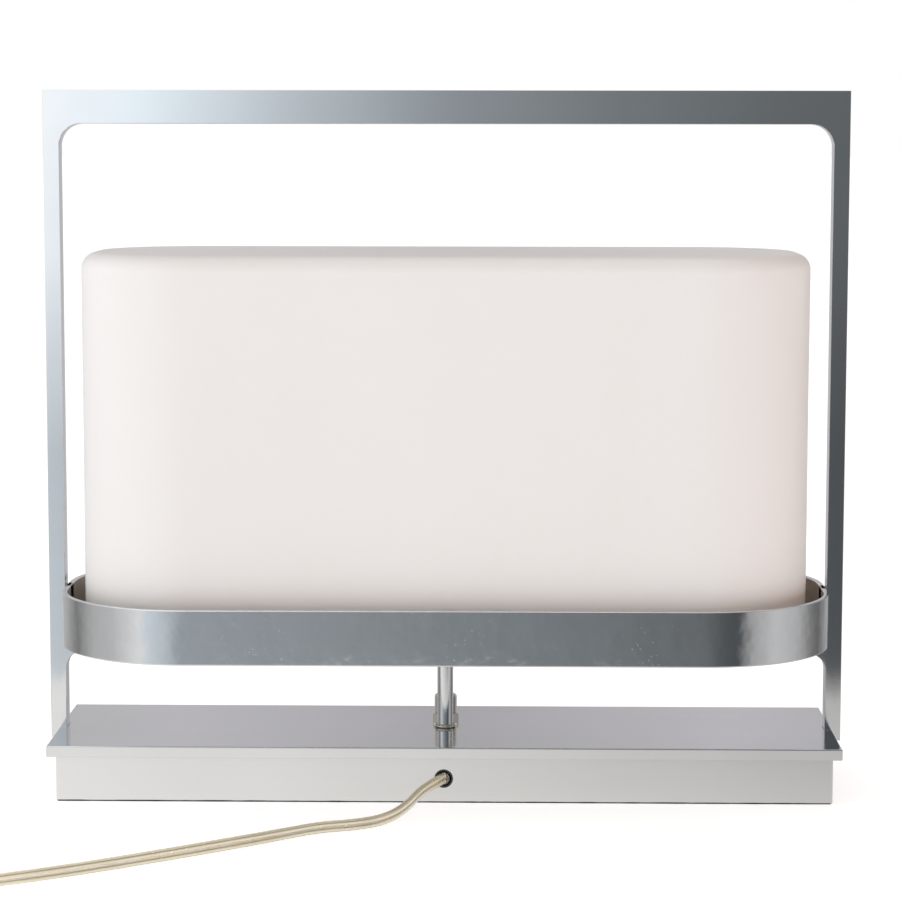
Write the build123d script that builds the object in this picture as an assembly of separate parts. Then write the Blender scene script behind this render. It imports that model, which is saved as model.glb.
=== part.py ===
from build123d import *

import math
import os

# Table lamp: an opal glass shade stands in a metal band inside a rectangular flat-bar frame.
# Millimetres. Origin: centre of the underside. +X along the lamp, +Z up, the cord leaves at -Y.

# Frame
FRAME_WIDTH = 457.2
FRAME_TOP = 399.3
FRAME_DEPTH = 11.1
UPRIGHT_WIDTH = 9.2
TOP_BAR = 19.0
CROSSBAR = 9.2
CROSSBAR_UNDERSIDE = 77.0
UPPER_CORNER_RADIUS = 12.7
LOWER_CORNER_RADIUS = 10.0
ARRIS = 0.4
FACE_TOLERANCE = 0.01

# Base
FELT_THICKNESS = 0.8
SKIRT_HEIGHT = 25.4
SKIRT_WALL = 2.0
SKIRT_INSET = 4.6
PLATE_THICKNESS = 6.35
PLATE_SETBACK = 5.1
PLATE_DEPTH = 116.8
PLATE_BEVEL = 0.8
NOTCH_CLEARANCE = 0.1
COVER_THICKNESS = 1.5
COVER_CLEARANCE = 0.5
POST_DIAMETER = 8.0
POST_INSET = 12.0
COVER_SCREW = 3.5
SCREW_HEAD = 6.2
SCREW_HEAD_HEIGHT = 1.35
SCREW_LENGTH = 10.0
SCREW_HOLE_SPARE = 1.0

# Cord outlet
OUTLET_HEIGHT = 14.0
OUTLET_DIAMETER = 10.6
LINER_WALL = 1.0
LINER_LIP = 2.0
LINER_LIP_THICKNESS = 1.5

# Stem
TUBE_DIAMETER = 9.2
TUBE_WALL = 0.45
COLLAR_DIAMETER = 13.6
COLLAR_HEIGHT = 1.9
COLLAR_ROUNDING = 0.45
PIPE_DIAMETER = 8.0
PIPE_BORE = 5.6
PIPE_BELOW_PLATE = 9.0
PIPE_ABOVE_STRAP = 7.0
NUT_FLATS = 13.0
NUT_THICKNESS = 4.0
NUT_CHAMFER = 0.8
WASHER_DIAMETER = 16.0
WASHER_THICKNESS = 1.5
HOLE_CLEARANCE = 0.1

# Band, ledge and shade
BAND_DEPTH = 177.8
BAND_END_FLAT = 25.4
BAND_WALL = 3.2
BAND_HEIGHT = 30.8
BAND_DROP = 1.7
LEDGE_THICKNESS = 1.5
LEDGE_CLEARANCE = 0.2
STRAP_WIDTH = 40.0
STRAP_OVERHANG = 23.0
STRAP_CORNER = 6.0
GASKET_THICKNESS = 1.0
GASKET_OVERHANG = 0.5
SHADE_GAP = 10.1
SHADE_WALL = 3.5
SHADE_SHOULDER = 9.0
SHADE_TOP = 309.0
CLIP_WIDTH = 12.0
CLIP_HEIGHT = 14.0
CLIP_FOOT = 8.0
CLIP_THICKNESS = 1.2
CLIP_CLEARANCE = 1.0
CLIP_SPACING = 110.0

# Lampholders and bulbs
SOCKET_SPACING = 210.0
SOCKET_DIAMETER = 37.0
SOCKET_HEIGHT = 46.0
SOCKET_BASE = 13.0
SOCKET_CHAMFER = 1.0
SHELL_BORE = 27.2
SHELL_WALL = 0.6
SHELL_HEIGHT = 25.0
SHELL_RECESS = 3.0
CONTACT_DIAMETER = 9.0
CONTACT_THICKNESS = 1.2
NIPPLE_DEPTH = 6.0
NIPPLE_ENTRY = 7.0
BULB_DIAMETER = 60.0
BULB_WALL = 0.8
BULB_NECK = 25.0
BULB_RISE = 50.0
BULB_TANGENTS = (1.4, 1.2)
CAP_DIAMETER = 26.2
CAP_HEIGHT = 22.0
CAP_GROOVE = 0.7
CAP_PITCH = 3.6
CAP_THREADS = 5
CAP_THREAD_START = 0.4
CAP_THREAD_SHARE = 0.45
CAP_TIP = 4.0
CAP_TIP_DIAMETER = 10.0
LEAD_DIAMETER = 2.4
LEAD_ARCH = 6.0
LEAD_ARCH_DROP = 1.0
LEAD_STRAIGHT = 8.0
SWITCH_LEAD_STRAIGHT = 14.0

# Switch
SWITCH_OFFSET = 17.0
SWITCH_BODY_WIDTH = 26.0
SWITCH_BODY_DEPTH = 17.0
SWITCH_BODY_HEIGHT = 15.0
SWITCH_BODY_CHAMFER = 1.5
SWITCH_TERMINAL_SPACING = 8.0
BUSHING_DIAMETER = 9.5
BUSHING_RECESS = 0.5
SHAFT_DIAMETER = 4.0
SHAFT_CLEARANCE = 0.05
SHAFT_SEAT = 4.0
SHAFT_SEAT_SPARE = 0.3
SWITCH_NUT_FLATS = 13.0
SWITCH_NUT_HEIGHT = 4.6
KNOB_DIAMETER = 13.0
KNOB_HEIGHT = 10.8
KNOB_GAP = 0.35
KNOB_EDGE = 1.2
KNOB_BORE_DEPTH = 7.0

# Wiring in the base
CONNECTOR_DIAMETER = 11.0
CONNECTOR_TIP = 7.0
CONNECTOR_LENGTH = 20.0
CONNECTOR_X = 62.0
CONNECTOR_PLACES = {"left": 6.0, "right": -8.0}
CONNECTOR_ENTRY = 8.0
LEAD_SPACING = 5.0
LEAD_HEIGHTS = {"left": 6.0, "right": 10.5}
LEAD_ENTRY_DEPTH = 3.0
LEAD_HOLE_SPARE = 0.5
LEAD_BENDS = [8.0, 10.0, 5.0, 6.0, 20.0, 8.0]
SWITCH_LEAD_BENDS = [8.0, 8.0]
CORD_END_Y = -19.0
ARC_SHARE = 0.45
CORD_INNER_STRAIGHT = 20.0
CLAMP_X = 48.0
CLAMP_WIDTH = 9.0
CLAMP_WALL = 1.2
CLAMP_CLEARANCE = 0.2

# Flexible cord and plug
CORD_WIDTH = 6.6
CORD_LIFT = 0.1
CORD_REST = CORD_WIDTH / 2 + CORD_LIFT
COIL_RADIUS = 39.0
COIL_COLUMNS = 3
COIL_LAYERS = 2
COIL_SPARE = 0.1
COIL_ROUNDING = 0.4
COIL_CENTRE = (-281.0, -217.5)
PLUG_WIDTH = 24.0
PLUG_LENGTH = 31.0
PLUG_THICKNESS = 15.0
PLUG_CORNER = 3.0
PLUG_STAGES = [(0, 0.5, 0.7), (0.35, 0.95, 1.0), (1, 1, 1)]
BLADE_SPACING = 12.7
BLADE_WIDTH = 6.3
BLADE_THICKNESS = 1.5
BLADE_LENGTH = 16.0
BLADE_CHAMFER = 0.5

# Heights and widths that follow from the sizes above
PLATE_UNDERSIDE = FELT_THICKNESS + SKIRT_HEIGHT
PLATE_TOP = PLATE_UNDERSIDE + PLATE_THICKNESS
COVER_TOP = FELT_THICKNESS + COVER_THICKNESS
PLATE_LENGTH = FRAME_WIDTH - 2 * PLATE_SETBACK
SKIRT_LENGTH = PLATE_LENGTH - 2 * SKIRT_INSET
SKIRT_DEPTH = PLATE_DEPTH - 2 * SKIRT_INSET
FRAME_INSIDE = FRAME_WIDTH - 2 * UPRIGHT_WIDTH
CROSSBAR_TOP = CROSSBAR_UNDERSIDE + CROSSBAR
LEDGE_TOP = CROSSBAR_TOP + LEDGE_THICKNESS
BAND_UNDERSIDE = CROSSBAR_TOP - BAND_DROP
BAND_LENGTH = FRAME_INSIDE
BAND_CORNER = (BAND_DEPTH - BAND_END_FLAT) / 2
SHADE_BOTTOM = LEDGE_TOP + GASKET_THICKNESS
SHADE_INSET = BAND_WALL + SHADE_GAP
SHADE_INSIDE_INSET = SHADE_INSET + SHADE_WALL
NUT_TOP = PLATE_TOP + SWITCH_NUT_HEIGHT
KNOB_UNDERSIDE = NUT_TOP + KNOB_GAP
SOCKET_TOP = LEDGE_TOP + SOCKET_HEIGHT
LEAD_ENTRY_HEIGHT = LEDGE_TOP + (NIPPLE_ENTRY + SOCKET_BASE) / 2
CAP_BOTTOM = LEDGE_TOP + SOCKET_BASE + CONTACT_THICKNESS
CAP_TOP = CAP_BOTTOM + CAP_TIP + CAP_HEIGHT
SIDES = {"left": -1, "right": 1}

# The cord's route to its coil, chosen by hand: out of the base, down and along the table
CORD_ROUTE = [
    (0.0, -SKIRT_DEPTH / 2, OUTLET_HEIGHT),
    (-11.0, -68.5, 12.0),
    (-20.5, -87.5, 5.2),
    (-31.5, -107.5, CORD_REST),
    (-48.0, -118.6, CORD_REST),
    (-66.0, -124.2, CORD_REST),
    (-82.0, -137.2, CORD_REST),
    (-103.5, -154.6, CORD_REST),
    (-133.0, -176.9, CORD_REST),
    (-162.5, -198.4, CORD_REST),
    (-191.0, -218.0, CORD_REST),
    (-219.5, -234.5, CORD_REST),
    (-258.0, -257.0, CORD_REST),
]

# From the top of the coil's outer turn to the plug beside it
CORD_END_ROUTE = [
    (COIL_CENTRE[0] - COIL_RADIUS - CORD_WIDTH, COIL_CENTRE[1], CORD_REST + CORD_WIDTH),
    (-326.5, -199.0, 8.8),
    (-325.2, -181.0, 7.3),
    (-323.0, -165.0, PLUG_THICKNESS / 2),
    (-323.0, -151.0, PLUG_THICKNESS / 2),
]


def slab(length, depth, corner, underside, thickness):
    """A flat piece with rounded corners, centred on the lamp."""
    return Pos(0, 0, underside) * extrude(RectangleRounded(length, depth, corner), amount=thickness)


def band_outline(inset, underside, height):
    """A solid that follows the band's outer outline, moved inwards by inset."""
    return slab(BAND_LENGTH - 2 * inset, BAND_DEPTH - 2 * inset, BAND_CORNER - inset, underside, height)


def upright_cylinder(diameter, bottom, top, x=0.0, y=0.0):
    """A cylinder along Z between two heights."""
    height = top - bottom
    return Pos(x, y, bottom) * Cylinder(diameter / 2, height, align=(Align.CENTER, Align.CENTER, Align.MIN))


def tube(outer, inner, bottom, top, x=0.0, y=0.0):
    """A round tube along Z between two heights."""
    return upright_cylinder(outer, bottom, top, x, y) - upright_cylinder(inner, bottom, top, x, y)


def hex_nut(flats, bore, bottom, height, x=0.0, y=0.0):
    """A hexagonal nut with its corners turned off at the top."""
    blank = extrude(RegularPolygon(flats / 2, 6, major_radius=False), amount=height)
    across_corners = flats / math.cos(math.pi / 6)
    turned = Cylinder(across_corners / 2, height, align=(Align.CENTER, Align.CENTER, Align.MIN))
    turned = chamfer(turned.edges().group_by(Axis.Z)[-1], NUT_CHAMFER)
    nut = (blank & turned) - Cylinder(bore / 2, 3 * height)
    return Pos(x, y, bottom) * nut


def corner_places(half_x, half_y):
    """The four corners of a rectangle about the origin."""
    return [(x * half_x, y * half_y) for x in (-1, 1) for y in (-1, 1)]


def group(pieces):
    """Separate solids that share one node."""
    return Compound(children=[piece if isinstance(piece, Solid) else piece.solid() for piece in pieces])


def corner_radii(points):
    """The largest tangent arc that the two runs at each corner leave room for."""
    radii = []
    for before, corner, after in zip(points, points[1:], points[2:]):
        run_in = Vector(*corner) - Vector(*before)
        run_out = Vector(*after) - Vector(*corner)
        half_turn = math.radians(run_in.get_angle(run_out)) / 2
        radii.append(ARC_SHARE * min(run_in.length, run_out.length) / math.tan(half_turn))
    return radii


def round_wire(points, diameter, name, radii=None):
    """A round tube of straight runs joined by tangent arcs, with its volume compared with its length."""
    radii = radii or corner_radii(points)
    path = FilletPolyline(*points, radius=radii)
    section = Plane(origin=path @ 0, z_dir=path % 0) * Circle(diameter / 2)
    wire = sweep(section, path=path)
    expected = math.pi * diameter**2 / 4 * path.length
    print(name, "length", round(path.length, 1), "volume ratio", round(wire.volume / expected, 4))
    print(name, "radii", [round(radius, 1) for radius in radii])
    return wire


def window(width, bottom, top, corner):
    """An opening through the frame, along Y, with its upper corners rounded."""
    outline = Rectangle(width, top - bottom)
    outline = fillet(outline.vertices().group_by(Axis.Y)[-1], corner)
    return extrude(Plane.XZ * Pos(0, (bottom + top) / 2) * outline, amount=FRAME_DEPTH, both=True)


def make_frame():
    """One flat-bar frame: two uprights, a deep top bar and a crossbar under the shade."""
    height = FRAME_TOP - PLATE_UNDERSIDE
    frame = Pos(0, 0, PLATE_UNDERSIDE + height / 2) * Box(FRAME_WIDTH, FRAME_DEPTH, height)
    frame -= window(FRAME_INSIDE, CROSSBAR_TOP, FRAME_TOP - TOP_BAR, UPPER_CORNER_RADIUS)
    frame -= window(FRAME_INSIDE, 0, CROSSBAR_UNDERSIDE, LOWER_CORNER_RADIUS)
    for side in (-1, 1):
        face = side * FRAME_DEPTH / 2
        edges = frame.edges().filter_by_position(Axis.Y, face - FACE_TOLERANCE, face + FACE_TOLERANCE)
        frame = chamfer(edges, ARRIS)
    frame -= upright_cylinder(PIPE_DIAMETER + 2 * HOLE_CLEARANCE, CROSSBAR_UNDERSIDE, CROSSBAR_TOP)
    for side in SIDES.values():
        x = side * SOCKET_SPACING / 2
        frame -= upright_cylinder(PIPE_DIAMETER, CROSSBAR_TOP - NIPPLE_DEPTH, CROSSBAR_TOP, x)
    return frame


def frame_stretch(frame, left, right, bottom, top):
    """The stretch of the frame between two widths and two heights."""
    middle = Pos((left + right) / 2, 0, (bottom + top) / 2)
    return (frame & middle * Box(right - left, 2 * FRAME_DEPTH, top - bottom)).solid()


def make_frame_bars():
    """The frame as the bars, corner blocks and gussets that it is welded from, by name."""
    frame = make_frame()
    outer = FRAME_WIDTH / 2
    inner = FRAME_INSIDE / 2
    window_top = FRAME_TOP - TOP_BAR
    corner = inner - UPPER_CORNER_RADIUS
    corner_foot = window_top - UPPER_CORNER_RADIUS
    gusset = inner - LOWER_CORNER_RADIUS
    gusset_foot = CROSSBAR_UNDERSIDE - LOWER_CORNER_RADIUS
    bars = {
        "top_bar": frame_stretch(frame, -corner, corner, window_top, FRAME_TOP),
        "crossbar": frame_stretch(frame, -inner, inner, CROSSBAR_UNDERSIDE, CROSSBAR_TOP),
    }
    for name, side in SIDES.items():
        stretches = {
            "top_corner": (corner, outer, corner_foot, FRAME_TOP),
            "upright": (inner, outer, PLATE_UNDERSIDE, corner_foot),
            "crossbar_gusset": (gusset, inner, gusset_foot, CROSSBAR_UNDERSIDE),
        }
        for bar, (near, far, bottom, top) in stretches.items():
            left, right = sorted((side * near, side * far))
            bars[f"{bar}_{name}"] = frame_stretch(frame, left, right, bottom, top)
    return bars


def make_base_plate():
    """The heavy plate, with its ends notched round the uprights."""
    plate = Pos(0, 0, PLATE_UNDERSIDE + PLATE_THICKNESS / 2) * Box(PLATE_LENGTH, PLATE_DEPTH, PLATE_THICKNESS)
    plate = chamfer(plate.edges().group_by(Axis.Z)[-1], PLATE_BEVEL)
    notch = FRAME_DEPTH + 2 * NOTCH_CLEARANCE
    for side in SIDES.values():
        middle = side * (FRAME_INSIDE / 2 + UPRIGHT_WIDTH / 2)
        plate -= Pos(middle, 0, PLATE_UNDERSIDE) * Box(UPRIGHT_WIDTH, notch, 3 * PLATE_THICKNESS)
    plate -= upright_cylinder(PIPE_DIAMETER + 2 * HOLE_CLEARANCE, PLATE_UNDERSIDE, PLATE_TOP)
    bushing_hole = BUSHING_DIAMETER + 2 * HOLE_CLEARANCE
    return plate - upright_cylinder(bushing_hole, PLATE_UNDERSIDE, PLATE_TOP, y=SWITCH_OFFSET)


def outlet_cylinder(diameter, outer_y, inner_y):
    """A cylinder along Y on the cord outlet's axis."""
    length = inner_y - outer_y
    return Pos(0, (outer_y + inner_y) / 2, OUTLET_HEIGHT) * Rot(90, 0, 0) * Cylinder(diameter / 2, length)


def make_base_skirt():
    """Four sheet-metal walls under the plate, with the cord outlet in the -Y wall."""
    middle = FELT_THICKNESS + SKIRT_HEIGHT / 2
    skirt = Pos(0, 0, middle) * Box(SKIRT_LENGTH, SKIRT_DEPTH, SKIRT_HEIGHT)
    inside = Box(SKIRT_LENGTH - 2 * SKIRT_WALL, SKIRT_DEPTH - 2 * SKIRT_WALL, 2 * SKIRT_HEIGHT)
    skirt -= Pos(0, 0, middle) * inside
    return skirt - outlet_cylinder(OUTLET_DIAMETER, -SKIRT_DEPTH, 0)


def make_cord_liner():
    """A plastic liner in the outlet, flush outside and lipped inside."""
    outside = -SKIRT_DEPTH / 2
    inside = outside + SKIRT_WALL
    sleeve = outlet_cylinder(OUTLET_DIAMETER - HOLE_CLEARANCE, outside, inside)
    lip_diameter = OUTLET_DIAMETER + 2 * LINER_LIP
    liner = sleeve + outlet_cylinder(lip_diameter, inside, inside + LINER_LIP_THICKNESS)
    bore = OUTLET_DIAMETER - 2 * LINER_WALL
    return liner - outlet_cylinder(bore, outside, inside + LINER_LIP_THICKNESS)


def post_places():
    """Where the four cover posts stand."""
    inset = SKIRT_WALL + POST_INSET
    return corner_places(SKIRT_LENGTH / 2 - inset, SKIRT_DEPTH / 2 - inset)


def make_bottom_cover():
    """The steel sheet that closes the base, countersunk for its screws."""
    shrink = 2 * (SKIRT_WALL + COVER_CLEARANCE)
    cover = Pos(0, 0, FELT_THICKNESS + COVER_THICKNESS / 2) * Box(
        SKIRT_LENGTH - shrink, SKIRT_DEPTH - shrink, COVER_THICKNESS
    )
    for x, y in post_places():
        cover -= cover_screw(x, y, HOLE_CLEARANCE)
    return cover


def cover_screw(x, y, grown=0.0):
    """A countersunk screw, or with grown the hole for it."""
    head = Cone(
        SCREW_HEAD / 2 + grown,
        COVER_SCREW / 2 + grown,
        SCREW_HEAD_HEIGHT,
        align=(Align.CENTER, Align.CENTER, Align.MIN),
    )
    shank = upright_cylinder(COVER_SCREW + 2 * grown, FELT_THICKNESS, FELT_THICKNESS + SCREW_LENGTH, x, y)
    return Pos(x, y, FELT_THICKNESS) * head + shank


def cover_post(x, y):
    """A threaded post between the cover and the plate."""
    bore = COVER_SCREW + 2 * HOLE_CLEARANCE
    return upright_cylinder(POST_DIAMETER, COVER_TOP, PLATE_UNDERSIDE, x, y) - upright_cylinder(
        bore, COVER_TOP, FELT_THICKNESS + SCREW_LENGTH + SCREW_HOLE_SPARE, x, y
    )


def make_base_felt():
    """The felt sheet under the whole base."""
    return Pos(0, 0, FELT_THICKNESS / 2) * Box(SKIRT_LENGTH, SKIRT_DEPTH, FELT_THICKNESS)


def make_tube_collar():
    """The bead that covers the foot of the tube."""
    collar = upright_cylinder(COLLAR_DIAMETER, PLATE_TOP, PLATE_TOP + COLLAR_HEIGHT)
    collar = fillet(collar.edges(), COLLAR_HEIGHT * COLLAR_ROUNDING)
    return collar - upright_cylinder(TUBE_DIAMETER + 2 * HOLE_CLEARANCE, PLATE_TOP, PLATE_TOP + COLLAR_HEIGHT)


def make_shade_band():
    """The band round the foot of the shade, notched over the ends of the crossbar."""
    band = band_outline(0, BAND_UNDERSIDE, BAND_HEIGHT)
    band -= band_outline(BAND_WALL, BAND_UNDERSIDE, BAND_HEIGHT)
    band = chamfer(band.edges().group_by(Axis.Z)[-1] + band.edges().group_by(Axis.Z)[0], ARRIS)
    notch = Box(FRAME_WIDTH, FRAME_DEPTH + 2 * NOTCH_CLEARANCE, 2 * BAND_DROP)
    return band - Pos(0, 0, BAND_UNDERSIDE) * notch


def make_shade_ledge():
    """The flat ring inside the band that carries the shade."""
    inner_edge = SHADE_INSIDE_INSET + CLIP_CLEARANCE + GASKET_OVERHANG + CLIP_FOOT
    ledge = band_outline(BAND_WALL + LEDGE_CLEARANCE, CROSSBAR_TOP, LEDGE_THICKNESS)
    return ledge - band_outline(inner_edge, CROSSBAR_TOP, LEDGE_THICKNESS)


def make_socket_strap():
    """The flat strap on the crossbar that the lampholders stand on."""
    length = SOCKET_SPACING + 2 * STRAP_OVERHANG
    strap = slab(length, STRAP_WIDTH, STRAP_CORNER, CROSSBAR_TOP, LEDGE_THICKNESS)
    for x in (-SOCKET_SPACING / 2, 0, SOCKET_SPACING / 2):
        strap -= upright_cylinder(PIPE_DIAMETER + 2 * HOLE_CLEARANCE, CROSSBAR_TOP, LEDGE_TOP, x)
    return strap


def make_shade_gasket():
    """The felt ring between the ledge and the rim of the shade."""
    ring = band_outline(SHADE_INSET - GASKET_OVERHANG, LEDGE_TOP, GASKET_THICKNESS)
    return ring - band_outline(SHADE_INSIDE_INSET + GASKET_OVERHANG, LEDGE_TOP, GASKET_THICKNESS)


def locating_clip(x, y, turn):
    """A bent clip inside the rim of the shade; its upright leg faces along the turned +X."""
    bottom = (Align.MAX, Align.CENTER, Align.MIN)
    leg = Box(CLIP_THICKNESS, CLIP_WIDTH, CLIP_HEIGHT, align=bottom)
    foot = Box(CLIP_FOOT, CLIP_WIDTH, CLIP_THICKNESS, align=bottom)
    return Pos(x, y, LEDGE_TOP) * Rot(0, 0, turn) * (leg + foot)


def make_shade_clips():
    """Two clips along each long side and one at each end."""
    reach = SHADE_INSIDE_INSET + CLIP_CLEARANCE + GASKET_OVERHANG
    end = BAND_LENGTH / 2 - reach
    edge = BAND_DEPTH / 2 - reach
    places = [(end, 0, 0), (-end, 0, 180)]
    for x in (-CLIP_SPACING / 2, CLIP_SPACING / 2):
        places += [(x, edge, 90), (x, -edge, -90)]
    return group([locating_clip(*place) for place in places])


def make_glass_shade():
    """The blown opal shade: a closed top with rounded shoulders, open below."""
    outside = band_outline(SHADE_INSET, SHADE_BOTTOM, SHADE_TOP - SHADE_BOTTOM)
    outside = fillet(outside.edges().group_by(Axis.Z)[-1], SHADE_SHOULDER)
    inside_height = SHADE_TOP - SHADE_WALL - SHADE_BOTTOM
    inside = band_outline(SHADE_INSIDE_INSET, SHADE_BOTTOM, inside_height)
    inside = fillet(inside.edges().group_by(Axis.Z)[-1], SHADE_SHOULDER - SHADE_WALL)
    return outside - inside


def make_socket_body(x):
    """A moulded lampholder with a well for its screw shell and holes for its nipple and lead."""
    body = upright_cylinder(SOCKET_DIAMETER, LEDGE_TOP, SOCKET_TOP, x)
    body = chamfer(body.edges().group_by(Axis.Z)[-1], SOCKET_CHAMFER)
    well = SHELL_BORE + 2 * SHELL_WALL + 2 * HOLE_CLEARANCE
    body -= upright_cylinder(well, LEDGE_TOP + SOCKET_BASE, SOCKET_TOP, x)
    body -= upright_cylinder(PIPE_DIAMETER + 2 * HOLE_CLEARANCE, LEDGE_TOP, LEDGE_TOP + NIPPLE_ENTRY, x)
    towards_pipe = -math.copysign(SOCKET_DIAMETER / 2, x)
    lead_hole = Rot(0, 90, 0) * Cylinder(LEAD_DIAMETER / 2 + HOLE_CLEARANCE, 2 * (LEAD_ENTRY_DEPTH + LEAD_HOLE_SPARE))
    return body - Pos(x + towards_pipe, 0, LEAD_ENTRY_HEIGHT) * lead_hole


def make_screw_shell(x):
    """The brass shell that takes the bulb's cap."""
    top = SOCKET_TOP - SHELL_RECESS
    return tube(SHELL_BORE + 2 * SHELL_WALL, SHELL_BORE, top - SHELL_HEIGHT, top, x)


def make_socket_contact(x):
    """The centre contact on the floor of the well."""
    floor = LEDGE_TOP + SOCKET_BASE
    return upright_cylinder(CONTACT_DIAMETER, floor, floor + CONTACT_THICKNESS, x)


def make_socket_nipple(x):
    """The threaded stub that holds a lampholder on the crossbar."""
    return upright_cylinder(PIPE_DIAMETER, CROSSBAR_TOP - NIPPLE_DEPTH, LEDGE_TOP + NIPPLE_ENTRY, x)


def bulb_form(x, shrink):
    """A turned pear shape above the cap, made smaller all over by shrink."""
    radius = BULB_DIAMETER / 2 - shrink
    neck = BULB_NECK / 2 - shrink
    foot = CAP_TOP + shrink
    middle = CAP_TOP + BULB_RISE
    profile = Curve() + [
        Line((0, foot), (neck, foot)),
        Spline((neck, foot), (radius, middle), tangents=((0, 1), (0, 1)), tangent_scalars=BULB_TANGENTS),
        CenterArc((0, middle), radius, 0, 90),
        Line((0, middle + radius), (0, foot)),
    ]
    half = Plane.XZ * make_face(profile)
    return Pos(x, 0, 0) * revolve(half, Axis.Z)


def make_bulb_glass(x):
    """The thin glass envelope."""
    return bulb_form(x, 0) - bulb_form(x, BULB_WALL)


def make_bulb_cap(x):
    """The screw cap, grooved for its thread, with its insulator and tip contact."""
    cap = upright_cylinder(CAP_DIAMETER, CAP_BOTTOM + CAP_TIP, CAP_TOP, x)
    for turn in range(CAP_THREADS):
        bottom = CAP_BOTTOM + CAP_TIP + (turn + CAP_THREAD_START) * CAP_PITCH
        cap -= tube(CAP_DIAMETER + 1, CAP_DIAMETER - 2 * CAP_GROOVE, bottom, bottom + CAP_PITCH * CAP_THREAD_SHARE, x)
    tip = Cone(
        CAP_TIP_DIAMETER / 2, CAP_DIAMETER / 2, CAP_TIP, align=(Align.CENTER, Align.CENTER, Align.MIN)
    )
    return cap + Pos(x, 0, CAP_BOTTOM) * tip


def make_socket_lead(name):
    """One lead: from its connector to the pipe, up it, over its top and across to a lampholder."""
    side = SIDES[name]
    inside_pipe = side * (LEAD_DIAMETER / 2 + HOLE_CLEARANCE)
    over = LEDGE_TOP + PIPE_ABOVE_STRAP + LEAD_ARCH
    entry = side * (SOCKET_SPACING / 2 - SOCKET_DIAMETER / 2)
    joint_y = CONNECTOR_PLACES[name]
    joint_z = OUTLET_HEIGHT - LEAD_SPACING / 2
    points = [
        (CONNECTOR_X, joint_y, joint_z),
        (CONNECTOR_X - CONNECTOR_ENTRY, joint_y, joint_z),
        (CONNECTOR_X / 2, joint_y / 2, LEAD_HEIGHTS[name]),
        (inside_pipe, 0, LEAD_HEIGHTS[name]),
        (inside_pipe, 0, over),
        (side * SOCKET_SPACING / 4, 0, over - LEAD_ARCH_DROP),
        (entry - side * LEAD_STRAIGHT, 0, LEAD_ENTRY_HEIGHT),
        (entry + side * LEAD_ENTRY_DEPTH, 0, LEAD_ENTRY_HEIGHT),
    ]
    return round_wire(points, LEAD_DIAMETER, f"lead {name}", radii=LEAD_BENDS)


def make_switch_body():
    """The moulded rotary switch under the plate."""
    top = (Align.CENTER, Align.CENTER, Align.MAX)
    body = Box(SWITCH_BODY_WIDTH, SWITCH_BODY_DEPTH, SWITCH_BODY_HEIGHT, align=top)
    body = chamfer(body.edges().filter_by(Axis.Z), SWITCH_BODY_CHAMFER)
    seat = SHAFT_DIAMETER + 2 * SHAFT_CLEARANCE
    body -= Cylinder(seat / 2, 2 * (SHAFT_SEAT + SHAFT_SEAT_SPARE))
    return Pos(0, SWITCH_OFFSET, PLATE_UNDERSIDE) * body


def make_switch_knob():
    """A plain turned knob with a rounded top."""
    knob = upright_cylinder(KNOB_DIAMETER, KNOB_UNDERSIDE, KNOB_UNDERSIDE + KNOB_HEIGHT, y=SWITCH_OFFSET)
    knob = fillet(knob.edges().group_by(Axis.Z)[-1], KNOB_EDGE)
    bore_top = KNOB_UNDERSIDE + KNOB_BORE_DEPTH
    return knob - upright_cylinder(SHAFT_DIAMETER, KNOB_UNDERSIDE, bore_top, y=SWITCH_OFFSET)


def make_switch_leads():
    """Two leads from the switch to the connectors."""
    start = SWITCH_BODY_WIDTH / 2
    middle = PLATE_UNDERSIDE - SWITCH_BODY_HEIGHT / 2
    joint_z = OUTLET_HEIGHT + LEAD_SPACING / 2
    leads = []
    for name, side in SIDES.items():
        y = SWITCH_OFFSET - side * SWITCH_TERMINAL_SPACING / 2
        joint_y = CONNECTOR_PLACES[name]
        points = [
            (start, y, middle),
            (start + SWITCH_LEAD_STRAIGHT, y, middle),
            (CONNECTOR_X - CONNECTOR_ENTRY, joint_y, joint_z),
            (CONNECTOR_X, joint_y, joint_z),
        ]
        leads.append(round_wire(points, LEAD_DIAMETER, "switch lead", radii=SWITCH_LEAD_BENDS))
    return group(leads)


def make_wire_connectors():
    """Two screw-on connectors that join the leads to the cord."""
    connectors = []
    for y in CONNECTOR_PLACES.values():
        cone = Cone(CONNECTOR_DIAMETER / 2, CONNECTOR_TIP / 2, CONNECTOR_LENGTH)
        middle = CONNECTOR_X + CONNECTOR_LENGTH / 2
        connectors.append(Pos(middle, y, OUTLET_HEIGHT) * Rot(0, 90, 0) * cone)
    return group(connectors)


def make_cord_inside():
    """The cord's stretch inside the base, from the outlet, through its clamp, to the connectors."""
    points = [
        (0, -SKIRT_DEPTH / 2, OUTLET_HEIGHT),
        (0, -SKIRT_DEPTH / 2 + CORD_INNER_STRAIGHT, OUTLET_HEIGHT),
        (CLAMP_X / 2, CORD_END_Y, OUTLET_HEIGHT),
        (CONNECTOR_X, CORD_END_Y, OUTLET_HEIGHT),
    ]
    return round_wire(points, CORD_WIDTH, "cord inside")


def make_cord_clamp():
    """A bracket under the plate that grips the cord."""
    height = PLATE_UNDERSIDE - OUTLET_HEIGHT + CORD_WIDTH / 2 + CLAMP_WALL
    width = CORD_WIDTH + 2 * (CLAMP_WALL + CLAMP_CLEARANCE)
    top = (Align.CENTER, Align.CENTER, Align.MAX)
    bracket = Box(CLAMP_WIDTH, width, height, align=top)
    slot = Box(CLAMP_WIDTH, width - 2 * CLAMP_WALL, height - CLAMP_WALL, align=top)
    return Pos(CLAMP_X, CORD_END_Y, PLATE_UNDERSIDE) * (bracket - slot)


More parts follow.
